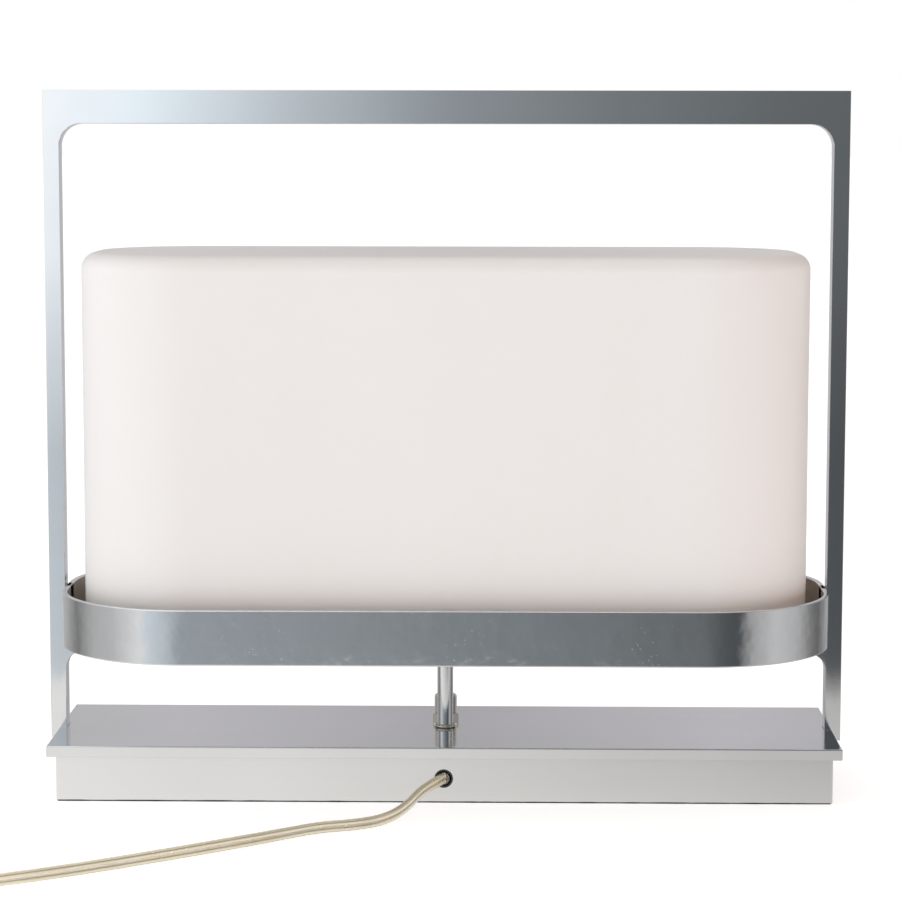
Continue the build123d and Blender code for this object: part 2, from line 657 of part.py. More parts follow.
def make_cord_coil():
    """The outer shape of the coil that the spare cord is wound into."""
    half_band = COIL_COLUMNS * CORD_WIDTH / 2
    height = COIL_LAYERS * CORD_WIDTH + COIL_SPARE
    outer = 2 * (COIL_RADIUS + half_band + COIL_SPARE)
    inner = 2 * (COIL_RADIUS - half_band - COIL_SPARE)
    coil = tube(outer, inner, 0, height, *COIL_CENTRE)
    return fillet(coil.edges(), CORD_WIDTH * COIL_ROUNDING)


def plug_place():
    """The plug lies flat, with its blades along +Y."""
    x, y, z = CORD_END_ROUTE[-1]
    return Pos(x, y, z)


def make_plug_body():
    """A flat moulded plug that narrows towards the cord."""
    sections = []
    for along, width, thickness in PLUG_STAGES:
        outline = RectangleRounded(PLUG_WIDTH * width, PLUG_THICKNESS * thickness, PLUG_CORNER)
        sections.append(Plane((0, along * PLUG_LENGTH, 0), x_dir=(1, 0, 0), z_dir=(0, 1, 0)) * outline)
    return plug_place() * loft(sections, ruled=True)


def make_plug_blades():
    """Two flat blades."""
    blades = []
    for side in (-1, 1):
        blade = Box(BLADE_THICKNESS, BLADE_LENGTH, BLADE_WIDTH, align=(Align.CENTER, Align.MIN, Align.CENTER))
        blade = chamfer(blade.edges().group_by(Axis.Y)[-1], BLADE_CHAMFER)
        blades.append(plug_place() * Pos(side * BLADE_SPACING / 2, PLUG_LENGTH, 0) * blade)
    return group(blades)


def make_nodes():
    """Every node of the lamp, by name."""
    pipe_bottom = PLATE_UNDERSIDE - PIPE_BELOW_PLATE
    pipe_top = LEDGE_TOP + PIPE_ABOVE_STRAP
    washer_bottom = PLATE_UNDERSIDE - WASHER_THICKNESS
    pipe_hole = PIPE_DIAMETER + 2 * HOLE_CLEARANCE
    bushing_hole = BUSHING_DIAMETER + 2 * HOLE_CLEARANCE
    shaft_hole = SHAFT_DIAMETER + 2 * SHAFT_CLEARANCE
    nodes = {
        **make_frame_bars(),
        "base_plate": make_base_plate(),
        "base_skirt": make_base_skirt(),
        "bottom_cover": make_bottom_cover(),
        "cover_posts": group([cover_post(x, y) for x, y in post_places()]),
        "cover_screws": group([cover_screw(x, y) for x, y in post_places()]),
        "base_felt": make_base_felt(),
        "cord_liner": make_cord_liner(),
        "centre_tube": tube(TUBE_DIAMETER, TUBE_DIAMETER - 2 * TUBE_WALL, PLATE_TOP, CROSSBAR_UNDERSIDE),
        "tube_collar": make_tube_collar(),
        "lamp_pipe": tube(PIPE_DIAMETER, PIPE_BORE, pipe_bottom, pipe_top),
        "pipe_washer": tube(WASHER_DIAMETER, pipe_hole, washer_bottom, PLATE_UNDERSIDE),
        "pipe_lower_nut": hex_nut(NUT_FLATS, pipe_hole, washer_bottom - NUT_THICKNESS, NUT_THICKNESS),
        "pipe_upper_nut": hex_nut(NUT_FLATS, pipe_hole, LEDGE_TOP, NUT_THICKNESS),
        "shade_band": make_shade_band(),
        "shade_ledge": make_shade_ledge(),
        "socket_strap": make_socket_strap(),
        "shade_gasket": make_shade_gasket(),
        "shade_clips": make_shade_clips(),
        "glass_shade": make_glass_shade(),
        "switch_body": make_switch_body(),
        "switch_bushing": tube(
            BUSHING_DIAMETER, shaft_hole, PLATE_UNDERSIDE, NUT_TOP - BUSHING_RECESS, y=SWITCH_OFFSET
        ),
        "switch_nut": hex_nut(
            SWITCH_NUT_FLATS, bushing_hole, PLATE_TOP, SWITCH_NUT_HEIGHT, y=SWITCH_OFFSET
        ),
        "switch_shaft": upright_cylinder(
            SHAFT_DIAMETER, PLATE_UNDERSIDE - SHAFT_SEAT, KNOB_UNDERSIDE + KNOB_BORE_DEPTH, y=SWITCH_OFFSET
        ),
        "switch_knob": make_switch_knob(),
        "switch_leads": make_switch_leads(),
        "wire_connectors": make_wire_connectors(),
        "cord_inside": make_cord_inside(),
        "cord_clamp": make_cord_clamp(),
        "cord_run": round_wire(CORD_ROUTE, CORD_WIDTH, "cord run"),
        "cord_coil": make_cord_coil(),
        "cord_end": round_wire(CORD_END_ROUTE, CORD_WIDTH, "cord end"),
        "plug_body": make_plug_body(),
        "plug_blades": make_plug_blades(),
    }
    for name, side in SIDES.items():
        x = side * SOCKET_SPACING / 2
        nodes[f"socket_body_{name}"] = make_socket_body(x)
        nodes[f"screw_shell_{name}"] = make_screw_shell(x)
        nodes[f"socket_contact_{name}"] = make_socket_contact(x)
        nodes[f"socket_nipple_{name}"] = make_socket_nipple(x)
        nodes[f"socket_lead_{name}"] = make_socket_lead(name)
        nodes[f"bulb_glass_{name}"] = make_bulb_glass(x)
        nodes[f"bulb_cap_{name}"] = make_bulb_cap(x)
    return nodes


os.makedirs("parts", exist_ok=True)
for node_name, node_shape in make_nodes().items():
    export_step(node_shape, f"parts/{node_name}.step")
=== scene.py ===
"""Looks of a table lamp: an opal glass shade in a plated band, inside a flat-bar frame on a flat base."""

import logging
import math
from dataclasses import dataclass
from enum import Enum
from typing import Callable, Sequence

import bmesh
import bpy
from mathutils import Matrix, Vector, noise

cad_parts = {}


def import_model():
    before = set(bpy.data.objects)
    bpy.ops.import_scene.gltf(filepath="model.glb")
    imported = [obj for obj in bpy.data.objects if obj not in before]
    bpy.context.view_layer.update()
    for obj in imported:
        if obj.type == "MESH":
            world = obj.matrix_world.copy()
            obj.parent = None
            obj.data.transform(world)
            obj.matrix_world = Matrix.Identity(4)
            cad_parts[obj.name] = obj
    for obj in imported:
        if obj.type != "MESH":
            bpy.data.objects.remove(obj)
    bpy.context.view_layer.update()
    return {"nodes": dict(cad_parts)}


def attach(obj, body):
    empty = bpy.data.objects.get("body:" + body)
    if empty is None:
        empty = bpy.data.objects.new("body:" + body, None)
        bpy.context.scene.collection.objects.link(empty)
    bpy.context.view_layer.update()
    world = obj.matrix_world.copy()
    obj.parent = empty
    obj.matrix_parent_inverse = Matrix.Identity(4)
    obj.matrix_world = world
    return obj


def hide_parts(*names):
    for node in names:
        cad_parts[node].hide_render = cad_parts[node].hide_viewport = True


LOG = logging.getLogger("table_lamp")
MM = 0.001
LEAST_CORNER = 0.05
WELD = 1e-6
SHARP = 30.0
Point = tuple[float, float, float]
Colour = tuple[float, float, float]


class Side(Enum):
    """The two halves of the lamp."""

    LEFT = -1
    RIGHT = 1

    @property
    def word(self) -> str:
        """The name's ending on this side."""
        return self.name.lower()


# ---------------------------------------------------------------- node trees


class NodeTable:
    """A node tree that values and nodes are laid out on."""

    def __init__(self, tree: bpy.types.NodeTree) -> None:
        """Keeps the tree."""
        self.tree = tree

    def add(self, kind: str, settings: dict | None = None, sockets: dict | None = None) -> bpy.types.Node:
        """Makes any node.

        Args:
            kind: The node's type.
            settings: Its properties, and a ramp's stops, set first.
            sockets: Values or links of its inputs, by name or number.

        Returns:
            The node.
        """
        node = self.tree.nodes.new(kind)
        for key, value in (settings or {}).items():
            if key == "stops":
                self._set_stops(node.color_ramp.elements, value)
            else:
                setattr(node, key, value)
        for key, value in (sockets or {}).items():
            self.join(value, node.inputs[key])
        return node

    def join(self, value: object, socket: bpy.types.NodeSocket) -> None:
        """Links a signal or socket to an input, or sets a plain value on it."""
        source = value.socket if isinstance(value, Signal) else value
        if isinstance(source, bpy.types.NodeSocket):
            self.tree.links.new(source, socket)
        else:
            socket.default_value = source

    @staticmethod
    def _set_stops(elements: bpy.types.bpy_prop_collection, stops: Sequence[tuple[float, Colour]]) -> None:
        """Gives a colour ramp its stops, in rising order."""
        elements[0].position, elements[0].color = stops[0][0], (*stops[0][1], 1)
        elements[1].position, elements[1].color = stops[-1][0], (*stops[-1][1], 1)
        for position, colour in stops[1:-1]:
            elements.new(position).color = (*colour, 1)

    def mix(self, factor: object, first: object, second: object) -> bpy.types.NodeSocket:
        """A colour that goes from first to second as the factor goes from 0 to 1."""
        pair = [(*c, 1) if isinstance(c, tuple) else c for c in (first, second)]
        node = self.add("ShaderNodeMix", {"data_type": "RGBA"}, {0: factor, 6: pair[0], 7: pair[1]})
        return node.outputs[2]

    def ramp(self, factor: object, stops: Sequence[tuple[float, Colour]]) -> bpy.types.NodeSocket:
        """A colour read from a ramp."""
        return self.add("ShaderNodeValToRGB", {"stops": stops}, {0: factor}).outputs[0]


class Signal:
    """A number that varies over a surface, and takes part in sums."""

    def __init__(self, table: NodeTable, socket: bpy.types.NodeSocket) -> None:
        """Wraps an output socket."""
        self.table = table
        self.socket = socket

    def maths(self, operation: str, *others: object) -> "Signal":
        """A Math node with this signal first."""
        return Signal(self.table, self.table.add(
            "ShaderNodeMath", {"operation": operation}, dict(enumerate((self, *others)))).outputs[0])

    def __add__(self, other: object) -> "Signal":
        """Self plus other."""
        return self.maths("ADD", other)

    __radd__ = __add__

    def __mul__(self, other: object) -> "Signal":
        """Self times other."""
        return self.maths("MULTIPLY", other)

    __rmul__ = __mul__

    def __rsub__(self, other: float) -> "Signal":
        """Other minus self."""
        return self * -1.0 + other

    def __truediv__(self, other: object) -> "Signal":
        """Self divided by other."""
        return self.maths("DIVIDE", other)

    def held(self, low: float, high: float) -> "Signal":
        """The share, 0 to 1, that self has gone from low to high."""
        node = self.table.add("ShaderNodeMapRange", {"clamp": True}, {0: self, 1: low, 2: high})
        return Signal(self.table, node.outputs[0])


class Bench(NodeTable):
    """One material, with its surface shader and the patterns that it is made of."""

    def __init__(self, name: str) -> None:
        """Makes the material and reads the object's own coordinates."""
        self.material = bpy.data.materials.new(name)
        self.material.use_nodes = True
        super().__init__(self.material.node_tree)
        self.shader = self.tree.nodes["Principled BSDF"]
        self.place = self.add("ShaderNodeTexCoord").outputs["Object"]

    def stretched(self, stretch: Point) -> bpy.types.NodeSocket:
        """Object coordinates stretched along the axes."""
        return self.add("ShaderNodeMapping", None, {"Vector": self.place, "Scale": stretch}).outputs[0]

    def noise(self, scale: float, detail: float = 2.0, rough: float = 0.5,
              stretch: Point = (1, 1, 1)) -> Signal:
        """Fractal noise, with scale in waves a metre."""
        node = self.add("ShaderNodeTexNoise", None, {
            "Vector": self.stretched(stretch), "Scale": scale, "Detail": detail, "Roughness": rough})
        return Signal(self, node.outputs[0])

    def cells(self, scale: float) -> Signal:
        """Distance to scattered cell centres."""
        node = self.add("ShaderNodeTexVoronoi", None, {"Vector": self.place, "Scale": scale})
        return Signal(self, node.outputs[0])

    def bump(self, height: Signal, distance: float) -> None:
        """Raises the surface by height times distance, on top of any earlier bump."""
        sockets = {"Height": height, "Distance": distance}
        if self.shader.inputs["Normal"].links:
            sockets["Normal"] = self.shader.inputs["Normal"].links[0].from_socket
        self.join(self.add("ShaderNodeBump", None, sockets).outputs[0], self.shader.inputs["Normal"])

    def feed(self, **values: object) -> None:
        """Sets or links the shader's sockets, named with underscores for spaces."""
        for key, value in values.items():
            colour = isinstance(value, tuple) and len(value) == 3 and key != "Subsurface_Radius"
            self.join((*value, 1) if colour else value, self.shader.inputs[key.replace("_", " ")])


# ---------------------------------------------------------------- finishes


class Grain(Enum):
    """Which way the polishing or rolling marks run."""

    FINE = (1.0, 1.0, 1.0)
    ALONG_X = (0.04, 1.0, 1.0)
    ALONG_Z = (1.0, 1.0, 0.03)


@dataclass(frozen=True)
class Plated:
    """A metal surface: its colour, polish, slow ripple and fine marks."""

    name: str
    colour: Colour
    deep_colour: Colour
    roughness: float
    uneven: float = 0.06
    ripple: float = 0.00002
    ripple_scale: float = 25.0
    marks: float = 0.000003
    pits: float = 0.0
    grain: Grain = Grain.FINE

    def make(self) -> bpy.types.Material:
        """Builds the material."""
        bench = Bench(self.name)
        cloud = bench.noise(14.0, 3.0)
        smear = bench.noise(55.0, 4.0, 0.6, self.grain.value)
        scratch = bench.noise(1600.0, 3.0, 0.7, self.grain.value)
        handled = (cloud * 0.6 + smear * 0.4).held(0.35, 0.7)
        polish = smear * self.uneven + scratch * (self.uneven * 0.4)
        bench.feed(
            Base_Color=bench.mix(handled, self.colour, self.deep_colour),
            Roughness=polish + (self.roughness - self.uneven * 0.6),
            Metallic=1.0,
        )
        bench.bump(bench.noise(self.ripple_scale, 2.0), self.ripple)
        bench.bump(scratch, self.marks)
        if self.pits:
            pit = bench.cells(420.0).held(0.0, 0.16)
            where = bench.noise(16.0, 3.0).held(0.5, 0.66)
            bench.bump(1.0 - (1.0 - pit) * where, self.pits)
        return bench.material


@dataclass(frozen=True)
class Moulded:
    """A plastic, ceramic or enamelled surface with slow mottling and a fine skin."""

    name: str
    colour: Colour
    shade: Colour
    roughness: float
    skin: float = 0.00001
    coat: float = 0.0

    def make(self) -> bpy.types.Material:
        """Builds the material."""
        bench = Bench(self.name)
        mottle = bench.noise(60.0, 4.0, 0.6)
        skin = bench.noise(900.0, 3.0, 0.6)
        bench.feed(
            Base_Color=bench.mix(mottle.held(0.3, 0.75), self.colour, self.shade),
            Roughness=skin * 0.08 + mottle * 0.1 + (self.roughness - 0.09),
            Coat_Weight=self.coat,
        )
        bench.bump(skin, self.skin)
        return bench.material


@dataclass(frozen=True)
class OpalGlass:
    """Blown opal glass: white through and through, with faint flow streaks and a fire polish."""

    name: str = "opal_glass"
    colour: Colour = (0.965, 0.96, 0.95)
    streak: Colour = (0.945, 0.935, 0.92)

    def make(self) -> bpy.types.Material:
        """Builds the material."""
        bench = Bench(self.name)
        flow = bench.noise(9.0, 4.0, 0.55, (1.0, 1.0, 0.35))
        seed = bench.cells(260.0).held(0.0, 0.05)
        streaks = (flow.held(0.35, 0.7) + (1.0 - seed) * 0.3).held(0, 1)
        bench.feed(
            Base_Color=bench.mix(streaks, self.colour, self.streak),
            Roughness=bench.noise(30.0, 3.0) * 0.12 + 0.26,
            Subsurface_Weight=0.35,
            Subsurface_Radius=(1.0, 0.9, 0.8),
            Subsurface_Scale=0.012,
            Specular_IOR_Level=0.4,
        )
        bench.bump(bench.noise(20.0, 2.0), 0.0002)
        return bench.material


@dataclass(frozen=True)
class Felt:
    """Pressed wool felt: a mat of short fibres."""

    name: str
    colour: Colour
    fibre: Colour

    def make(self) -> bpy.types.Material:
        """Builds the material."""
        bench = Bench(self.name)
        mat = bench.noise(1500.0, 5.0, 0.75)
        hair = bench.noise(900.0, 4.0, 0.7, (1.0, 0.2, 1.0)) * bench.noise(900.0, 4.0, 0.7, (0.2, 1.0, 1.0))
        bench.feed(
            Base_Color=bench.mix((mat * 0.5 + hair).held(0.35, 0.75), self.colour, self.fibre),
            Roughness=0.96,
            Sheen_Weight=0.3,
            Sheen_Roughness=0.5,
        )
        bench.bump(mat + hair, 0.0004)
        return bench.material


@dataclass(frozen=True)
class ClearVinyl:
    """Clear vinyl, yellowed a little, as a cord's sheath and its plug are made of."""

    name: str
    colour: Colour
    aged: Colour
    clear: float = 0.8

    def make(self) -> bpy.types.Material:
        """Builds the material."""
        bench = Bench(self.name)
        age = bench.noise(35.0, 3.0)
        dust = bench.noise(500.0, 4.0, 0.7)
        bench.feed(
            Base_Color=bench.mix(age.held(0.35, 0.7), self.colour, self.aged),
            Roughness=dust * 0.2 + age * 0.08 + 0.1,
            Transmission_Weight=self.clear,
            IOR=1.4,
        )
        bench.bump(bench.noise(140.0, 2.0), 0.0001)
        return bench.material


@dataclass(frozen=True)
class Frosted:
    """Bulb glass with a frosted inside."""

    name: str = "bulb_frost"

    def make(self) -> bpy.types.Material:
        """Builds the material."""
        bench = Bench(self.name)
        frost = bench.noise(700.0, 4.0, 0.7)
        bench.feed(
            Base_Color=bench.mix(bench.noise(40.0, 3.0), (0.96, 0.96, 0.94), (0.9, 0.9, 0.88)),
            Roughness=frost * 0.15 + 0.32,
            Transmission_Weight=0.55,
            Coat_Weight=0.4,
        )
        bench.bump(frost, 0.00001)
        return bench.material


NICKEL = (0.73, 0.735, 0.745)
NICKEL_DEEP = (0.69, 0.695, 0.7)
FINISHES = {finish.name: finish for finish in (
    Plated("polished_nickel", NICKEL, NICKEL_DEEP, 0.1, ripple=0.00003, grain=Grain.ALONG_X),
    Plated("band_nickel", NICKEL, NICKEL_DEEP, 0.11, ripple=0.0004, ripple_scale=70.0,
           pits=0.00008, grain=Grain.ALONG_X),
    # The band's inner faces: darker, browner and rougher than its outside. This colour is painted shade for the
    # dim gap inside the band.
    Plated("band_lining", (0.62, 0.57, 0.51), (0.5, 0.44, 0.38), 0.42, uneven=0.14),
    Plated("plate_nickel", NICKEL, NICKEL_DEEP, 0.1, ripple=0.00001, ripple_scale=12.0,
           grain=Grain.ALONG_X),
    Plated("skirt_nickel", (0.8, 0.795, 0.785), (0.77, 0.765, 0.755), 0.3, uneven=0.08,
           ripple=0.00004, ripple_scale=10.0, marks=0.000004, grain=Grain.ALONG_X),
    Plated("zinc_steel", (0.62, 0.62, 0.6), (0.52, 0.52, 0.5), 0.38, uneven=0.2, marks=0.000006),
    Plated("warm_nickel", (0.74, 0.71, 0.65), (0.68, 0.63, 0.54), 0.16, uneven=0.1,
           grain=Grain.ALONG_X),
    Plated("tube_nickel", NICKEL, NICKEL_DEEP, 0.12, grain=Grain.ALONG_Z),
    Plated("brass", (0.78, 0.6, 0.3), (0.62, 0.44, 0.2), 0.24, uneven=0.14),
    Plated("tinned_copper", (0.9, 0.83, 0.67), (0.74, 0.66, 0.48), 0.34, uneven=0.12,
           marks=0.00003),
    Plated("cap_metal", (0.75, 0.75, 0.74), (0.66, 0.66, 0.64), 0.28, uneven=0.12),
    Moulded("enamel", (0.85, 0.85, 0.83), (0.8, 0.79, 0.76), 0.35, coat=0.3),
    Moulded("black_plastic", (0.018, 0.018, 0.019), (0.03, 0.03, 0.03), 0.42),
    Moulded("porcelain", (0.9, 0.89, 0.85), (0.85, 0.83, 0.78), 0.22, coat=0.5),
    Moulded("lead_insulation", (0.85, 0.84, 0.8), (0.78, 0.76, 0.7), 0.5),
    Moulded("connector_plastic", (0.75, 0.3, 0.07), (0.66, 0.24, 0.05), 0.4),
    Moulded("tie_plastic", (0.7, 0.7, 0.68), (0.62, 0.62, 0.6), 0.45),
    Felt("gasket_felt", (0.05, 0.045, 0.04), (0.1, 0.09, 0.08)),
    Felt("felt", (0.012, 0.012, 0.012), (0.05, 0.048, 0.045)),
    ClearVinyl("clear_cord", (0.97, 0.925, 0.82), (0.93, 0.86, 0.7)),
    ClearVinyl("plug_plastic", (0.9, 0.83, 0.66), (0.82, 0.72, 0.5), 0.3),
    OpalGlass(),
    Frosted(),
)}


class PaintShop:
    """Makes each finish once, and puts it on pieces and on the frame's own nodes."""

    def __init__(self, nodes: dict[str, bpy.types.Object]) -> None:
        """Keeps the CAD nodes that may be dressed."""
        self.nodes = nodes
        self.made: dict[str, bpy.types.Material] = {}

    def material(self, finish: str) -> bpy.types.Material:
        """The material of a finish, made when first asked for."""
        if finish not in self.made:
            self.made[finish] = FINISHES[finish].make()
        return self.made[finish]

    def dress(self, finish: str, *names: str) -> None:
        """Gives CAD nodes a finish."""
        for name in names:
            self.nodes[name].data.materials.clear()
            self.nodes[name].data.materials.append(self.material(finish))

    def finish(self, piece: bpy.types.Object, finish: str, slot: str, body: str,
               *replaced: str) -> bpy.types.Object:
        """Gives a finished piece its material and its body, and hides the CAD nodes that it stands for.

        Args:
            piece: The object, whose mesh is in place.
            finish: A name in FINISHES, or an empty word where the mesh has its materials.
            slot: The record's material slot; not used.
            body: The body it moves with.
            *replaced: CAD nodes that it stands for.

        Returns:
            The piece.
        """
        if finish:
            piece.data.materials.clear()
            piece.data.materials.append(self.material(finish))
        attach(piece, body)
        if replaced:
            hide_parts(*replaced)
        LOG.info("%s: %d faces, on %s", piece.name, len(piece.data.polygons), body)
        return piece


# ---------------------------------------------------------------- shapes


def link(name: str, data: bpy.types.ID) -> bpy.types.Object:
    """An object of this data in the scene."""
    piece = bpy.data.objects.new(name, data)
    bpy.context.scene.collection.objects.link(piece)
    return piece


def frozen(piece: bpy.types.Object, name: str) -> bpy.types.Object:
    """Turns an object with modifiers, or a curve, into a plain mesh object.

    Args:
        piece: The object to read, which is removed.
        name: The new object's name.

    Returns:
        The mesh object.
    """
    bpy.context.view_layer.update()
    mesh = bpy.data.meshes.new_from_object(piece.evaluated_get(bpy.context.evaluated_depsgraph_get()))
    mesh.transform(piece.matrix_world)
    bpy.data.objects.remove(piece)
    return link(name, mesh)


def soften(piece: bpy.types.Object, degrees: float = 32.0) -> bpy.types.Object:
    """Smooth shading, with edges sharper than the angle kept crisp."""
    piece.data.shade_smooth()
    piece.data.set_sharp_from_angle(angle=math.radians(degrees))
    return piece


def true_flats(piece: bpy.types.Object) -> bpy.types.Object:
    """Keeps the shading of broad faces flat up to their rounded edges, and returns the piece."""
    weighting = piece.modifiers.new("true_flats", "WEIGHTED_NORMAL")
    weighting.weight = 100
    weighting.keep_sharp = True
    return piece


def from_rings(name: str, rings: Sequence[Sequence[Point]], loop: bool = False) -> bpy.types.Object:
    """Skins rings of points with faces.

    Args:
        name: The object's name.
        rings: Rings in order, in millimetres; a ring of one point is a pole.
        loop: Whether the last ring joins the first. If not, both ends are closed.

    Returns:
        The object, with its faces outwards.
    """
    shape = bmesh.new()
    rows = [[shape.verts.new([v * MM for v in point]) for point in ring] for ring in rings]
    pairs = list(zip(rows, rows[1:] + rows[:1])) if loop else list(zip(rows, rows[1:]))
    for first, second in pairs:
        count = max(len(first), len(second))
        if len(first) == len(second) == 1:
            continue
        for i in range(count):
            j = (i + 1) % count
            corners = [row[k % len(row)] for row, k in ((first, i), (first, j), (second, j), (second, i))]
            shape.faces.new(list(dict.fromkeys(corners)))
    if not loop:
        for row in (rows[0], rows[-1]):
            if len(row) > 1:
                shape.faces.new(row)
    bmesh.ops.recalc_face_normals(shape, faces=shape.faces)
    mesh = bpy.data.meshes.new(name)
    shape.to_mesh(mesh)
    shape.free()
    return soften(link(name, mesh))


def arc(across: float, height: float, radius: float, start: float, end: float,
        steps: int) -> list[tuple[float, float]]:
    """Points of an arc in a profile, with angles in degrees."""
    angles = [math.radians(start + (end - start) * i / steps) for i in range(steps + 1)]
    return [(across + radius * math.cos(a), height + radius * math.sin(a)) for a in angles]


def turned(name: str, profile: Sequence[tuple[float, float]], centre: tuple[float, float] = (0.0, 0.0),
           loop: bool = False, segments: int = 96) -> bpy.types.Object:
    """A turned piece.

    Args:
        name: The object's name.
        profile: Radius and height pairs, in millimetres.
        centre: The axis, in plan.
        loop: Whether the profile closes on itself, as a tube's does.
        segments: Faces round the axis.

    Returns:
        The object.
    """
    rings = []
    for radius, height in profile:
        count = segments if radius > 0 else 1
        rings.append([(x, y, height) for x, y in circle(*centre, radius, count)])
    return from_rings(name, rings, loop)


@dataclass
class Oblong:
    """A rounded rectangle about the lamp's axis, which rings at any inset follow."""

    length: float
    depth: float
    corner: float
    arc_steps: int = 24
    long_steps: int = 24
    end_marks: tuple[float, ...] = ()

    def ring(self, inset: float) -> list[tuple[float, float]]:
        """The outline moved inwards, anticlockwise.

        Args:
            inset: How far it is moved.

        Returns:
            The points, as many at every inset.
        """
        half_x, half_y = self.length / 2 - self.corner, self.depth / 2 - self.corner
        radius = max(self.corner - inset, LEAST_CORNER)
        points: list[tuple[float, float]] = []
        for turn, (sx, sy) in enumerate(((1, 1), (-1, 1), (-1, -1), (1, -1))):
            start = 90 * turn
            points += arc(sx * half_x, sy * half_y, radius, start, start + 90, self.arc_steps)
            if turn % 2 == 0:
                cuts = [1 - 2 * i / self.long_steps for i in range(1, self.long_steps)]
                points += [(sx * half_x * c, sy * (half_y + radius)) for c in cuts]
            else:
                points += [(sx * (half_x + radius), sy * y) for y in self.end_marks]
        return points

    def walls(self, profile: Sequence[tuple[float, float]],
              shift: Callable[[float, float, float], Point] | None = None) -> list[list[Point]]:
        """Rings that carry a profile round the outline.

        Args:
            profile: Inset and height pairs.
            shift: Moves a point, where the shape isn't quite regular.

        Returns:
            One ring for each pair.
        """
        rings = [[(x, y, z) for x, y in self.ring(inset)] for inset, z in profile]
        return [[shift(*p) for p in ring] for ring in rings] if shift else rings


def cut_plate(name: str, outlines: Sequence[Sequence[tuple[float, float]]], thickness: float, arris: float,
              place: Matrix, steps: int = 2) -> bpy.types.Object:
    """A flat piece cut to outlines, with every edge softened.

    Args:
        name: The object's name.
        outlines: The outer outline, then any holes, in millimetres.
        thickness: How thick it is.
        arris: The radius on its edges.
        place: Turns and moves the flat piece, in metres.
        steps: How finely the edges are rounded.

    Returns:
        The object.
    """
    curve = bpy.data.curves.new(name, "CURVE")
    curve.dimensions, curve.fill_mode = "2D", "BOTH"
    curve.extrude = (thickness / 2 - arris) * MM
    curve.bevel_depth, curve.bevel_resolution, curve.offset = arris * MM, steps, -arris * MM
    for outline in outlines:
        spline = curve.splines.new("POLY")
        spline.points.add(len(outline) - 1)
        for point, (x, y) in zip(spline.points, outline):
            point.co = (x * MM, y * MM, 0, 1)
        spline.use_cyclic_u = True
    piece = frozen(link(name + ".cut", curve), name)
    piece.data.transform(place)
    shape = bmesh.new()
    shape.from_mesh(piece.data)
    bmesh.ops.remove_doubles(shape, verts=shape.verts, dist=WELD)
    bmesh.ops.recalc_face_normals(shape, faces=shape.faces)
    shape.to_mesh(piece.data)
    shape.free()
    return true_flats(soften(piece, SHARP))


def circle(x: float, y: float, radius: float, count: int = 48) -> list[tuple[float, float]]:
    """A hole's outline."""
    return [(x + radius * math.cos(math.tau * i / count), y + radius * math.sin(math.tau * i / count))
            for i in range(count)]


class GrownTree:
    """A Geometry Nodes tree that makes repeated or wound shapes from named sizes."""

    def __init__(self, name: str, sizes: dict[str, float], material: bpy.types.Material) -> None:
        """Makes the tree with one named input for each size.

        Args:
            name: The tree's name.
            sizes: Each input's name and value.
            material: What the shape is made of.
        """
        self.tree = bpy.data.node_groups.new(name, "GeometryNodeTree")
        self.sizes = sizes
        self.material = material
        self.keys: dict[str, str] = {}
        for size in sizes:
            kind = "NodeSocketInt" if isinstance(sizes[size], int) else "NodeSocketFloat"
            socket = self.tree.interface.new_socket(size, in_out="INPUT", socket_type=kind)
            self.keys[size] = socket.identifier
        self.tree.interface.new_socket("Shape", in_out="OUTPUT", socket_type="NodeSocketGeometry")
        self.table = NodeTable(self.tree)
        self.inputs = self.table.add("NodeGroupInput").outputs

    def grow(self, name: str, shape: bpy.types.NodeSocket) -> bpy.types.Object:
        """Ends the tree, runs it and returns its plain mesh as an object."""
        real = self.table.add("GeometryNodeRealizeInstances", None, {0: shape}).outputs[0]
        smooth = self.table.add("GeometryNodeSetShadeSmooth", None, {0: real}).outputs[0]
        dressed = self.table.add("GeometryNodeSetMaterial", None, {0: smooth, "Material": self.material})
        self.table.add("NodeGroupOutput", None, {0: dressed.outputs[0]})
        holder = link(name + ".seed", bpy.data.meshes.new(name + ".seed"))
        modifier = holder.modifiers.new("grown", "NODES")
        modifier.node_group = self.tree
        for size, key in self.keys.items():
            modifier[key] = self.sizes[size]
        return frozen(holder, name)


# ---------------------------------------------------------------- sub-assemblies


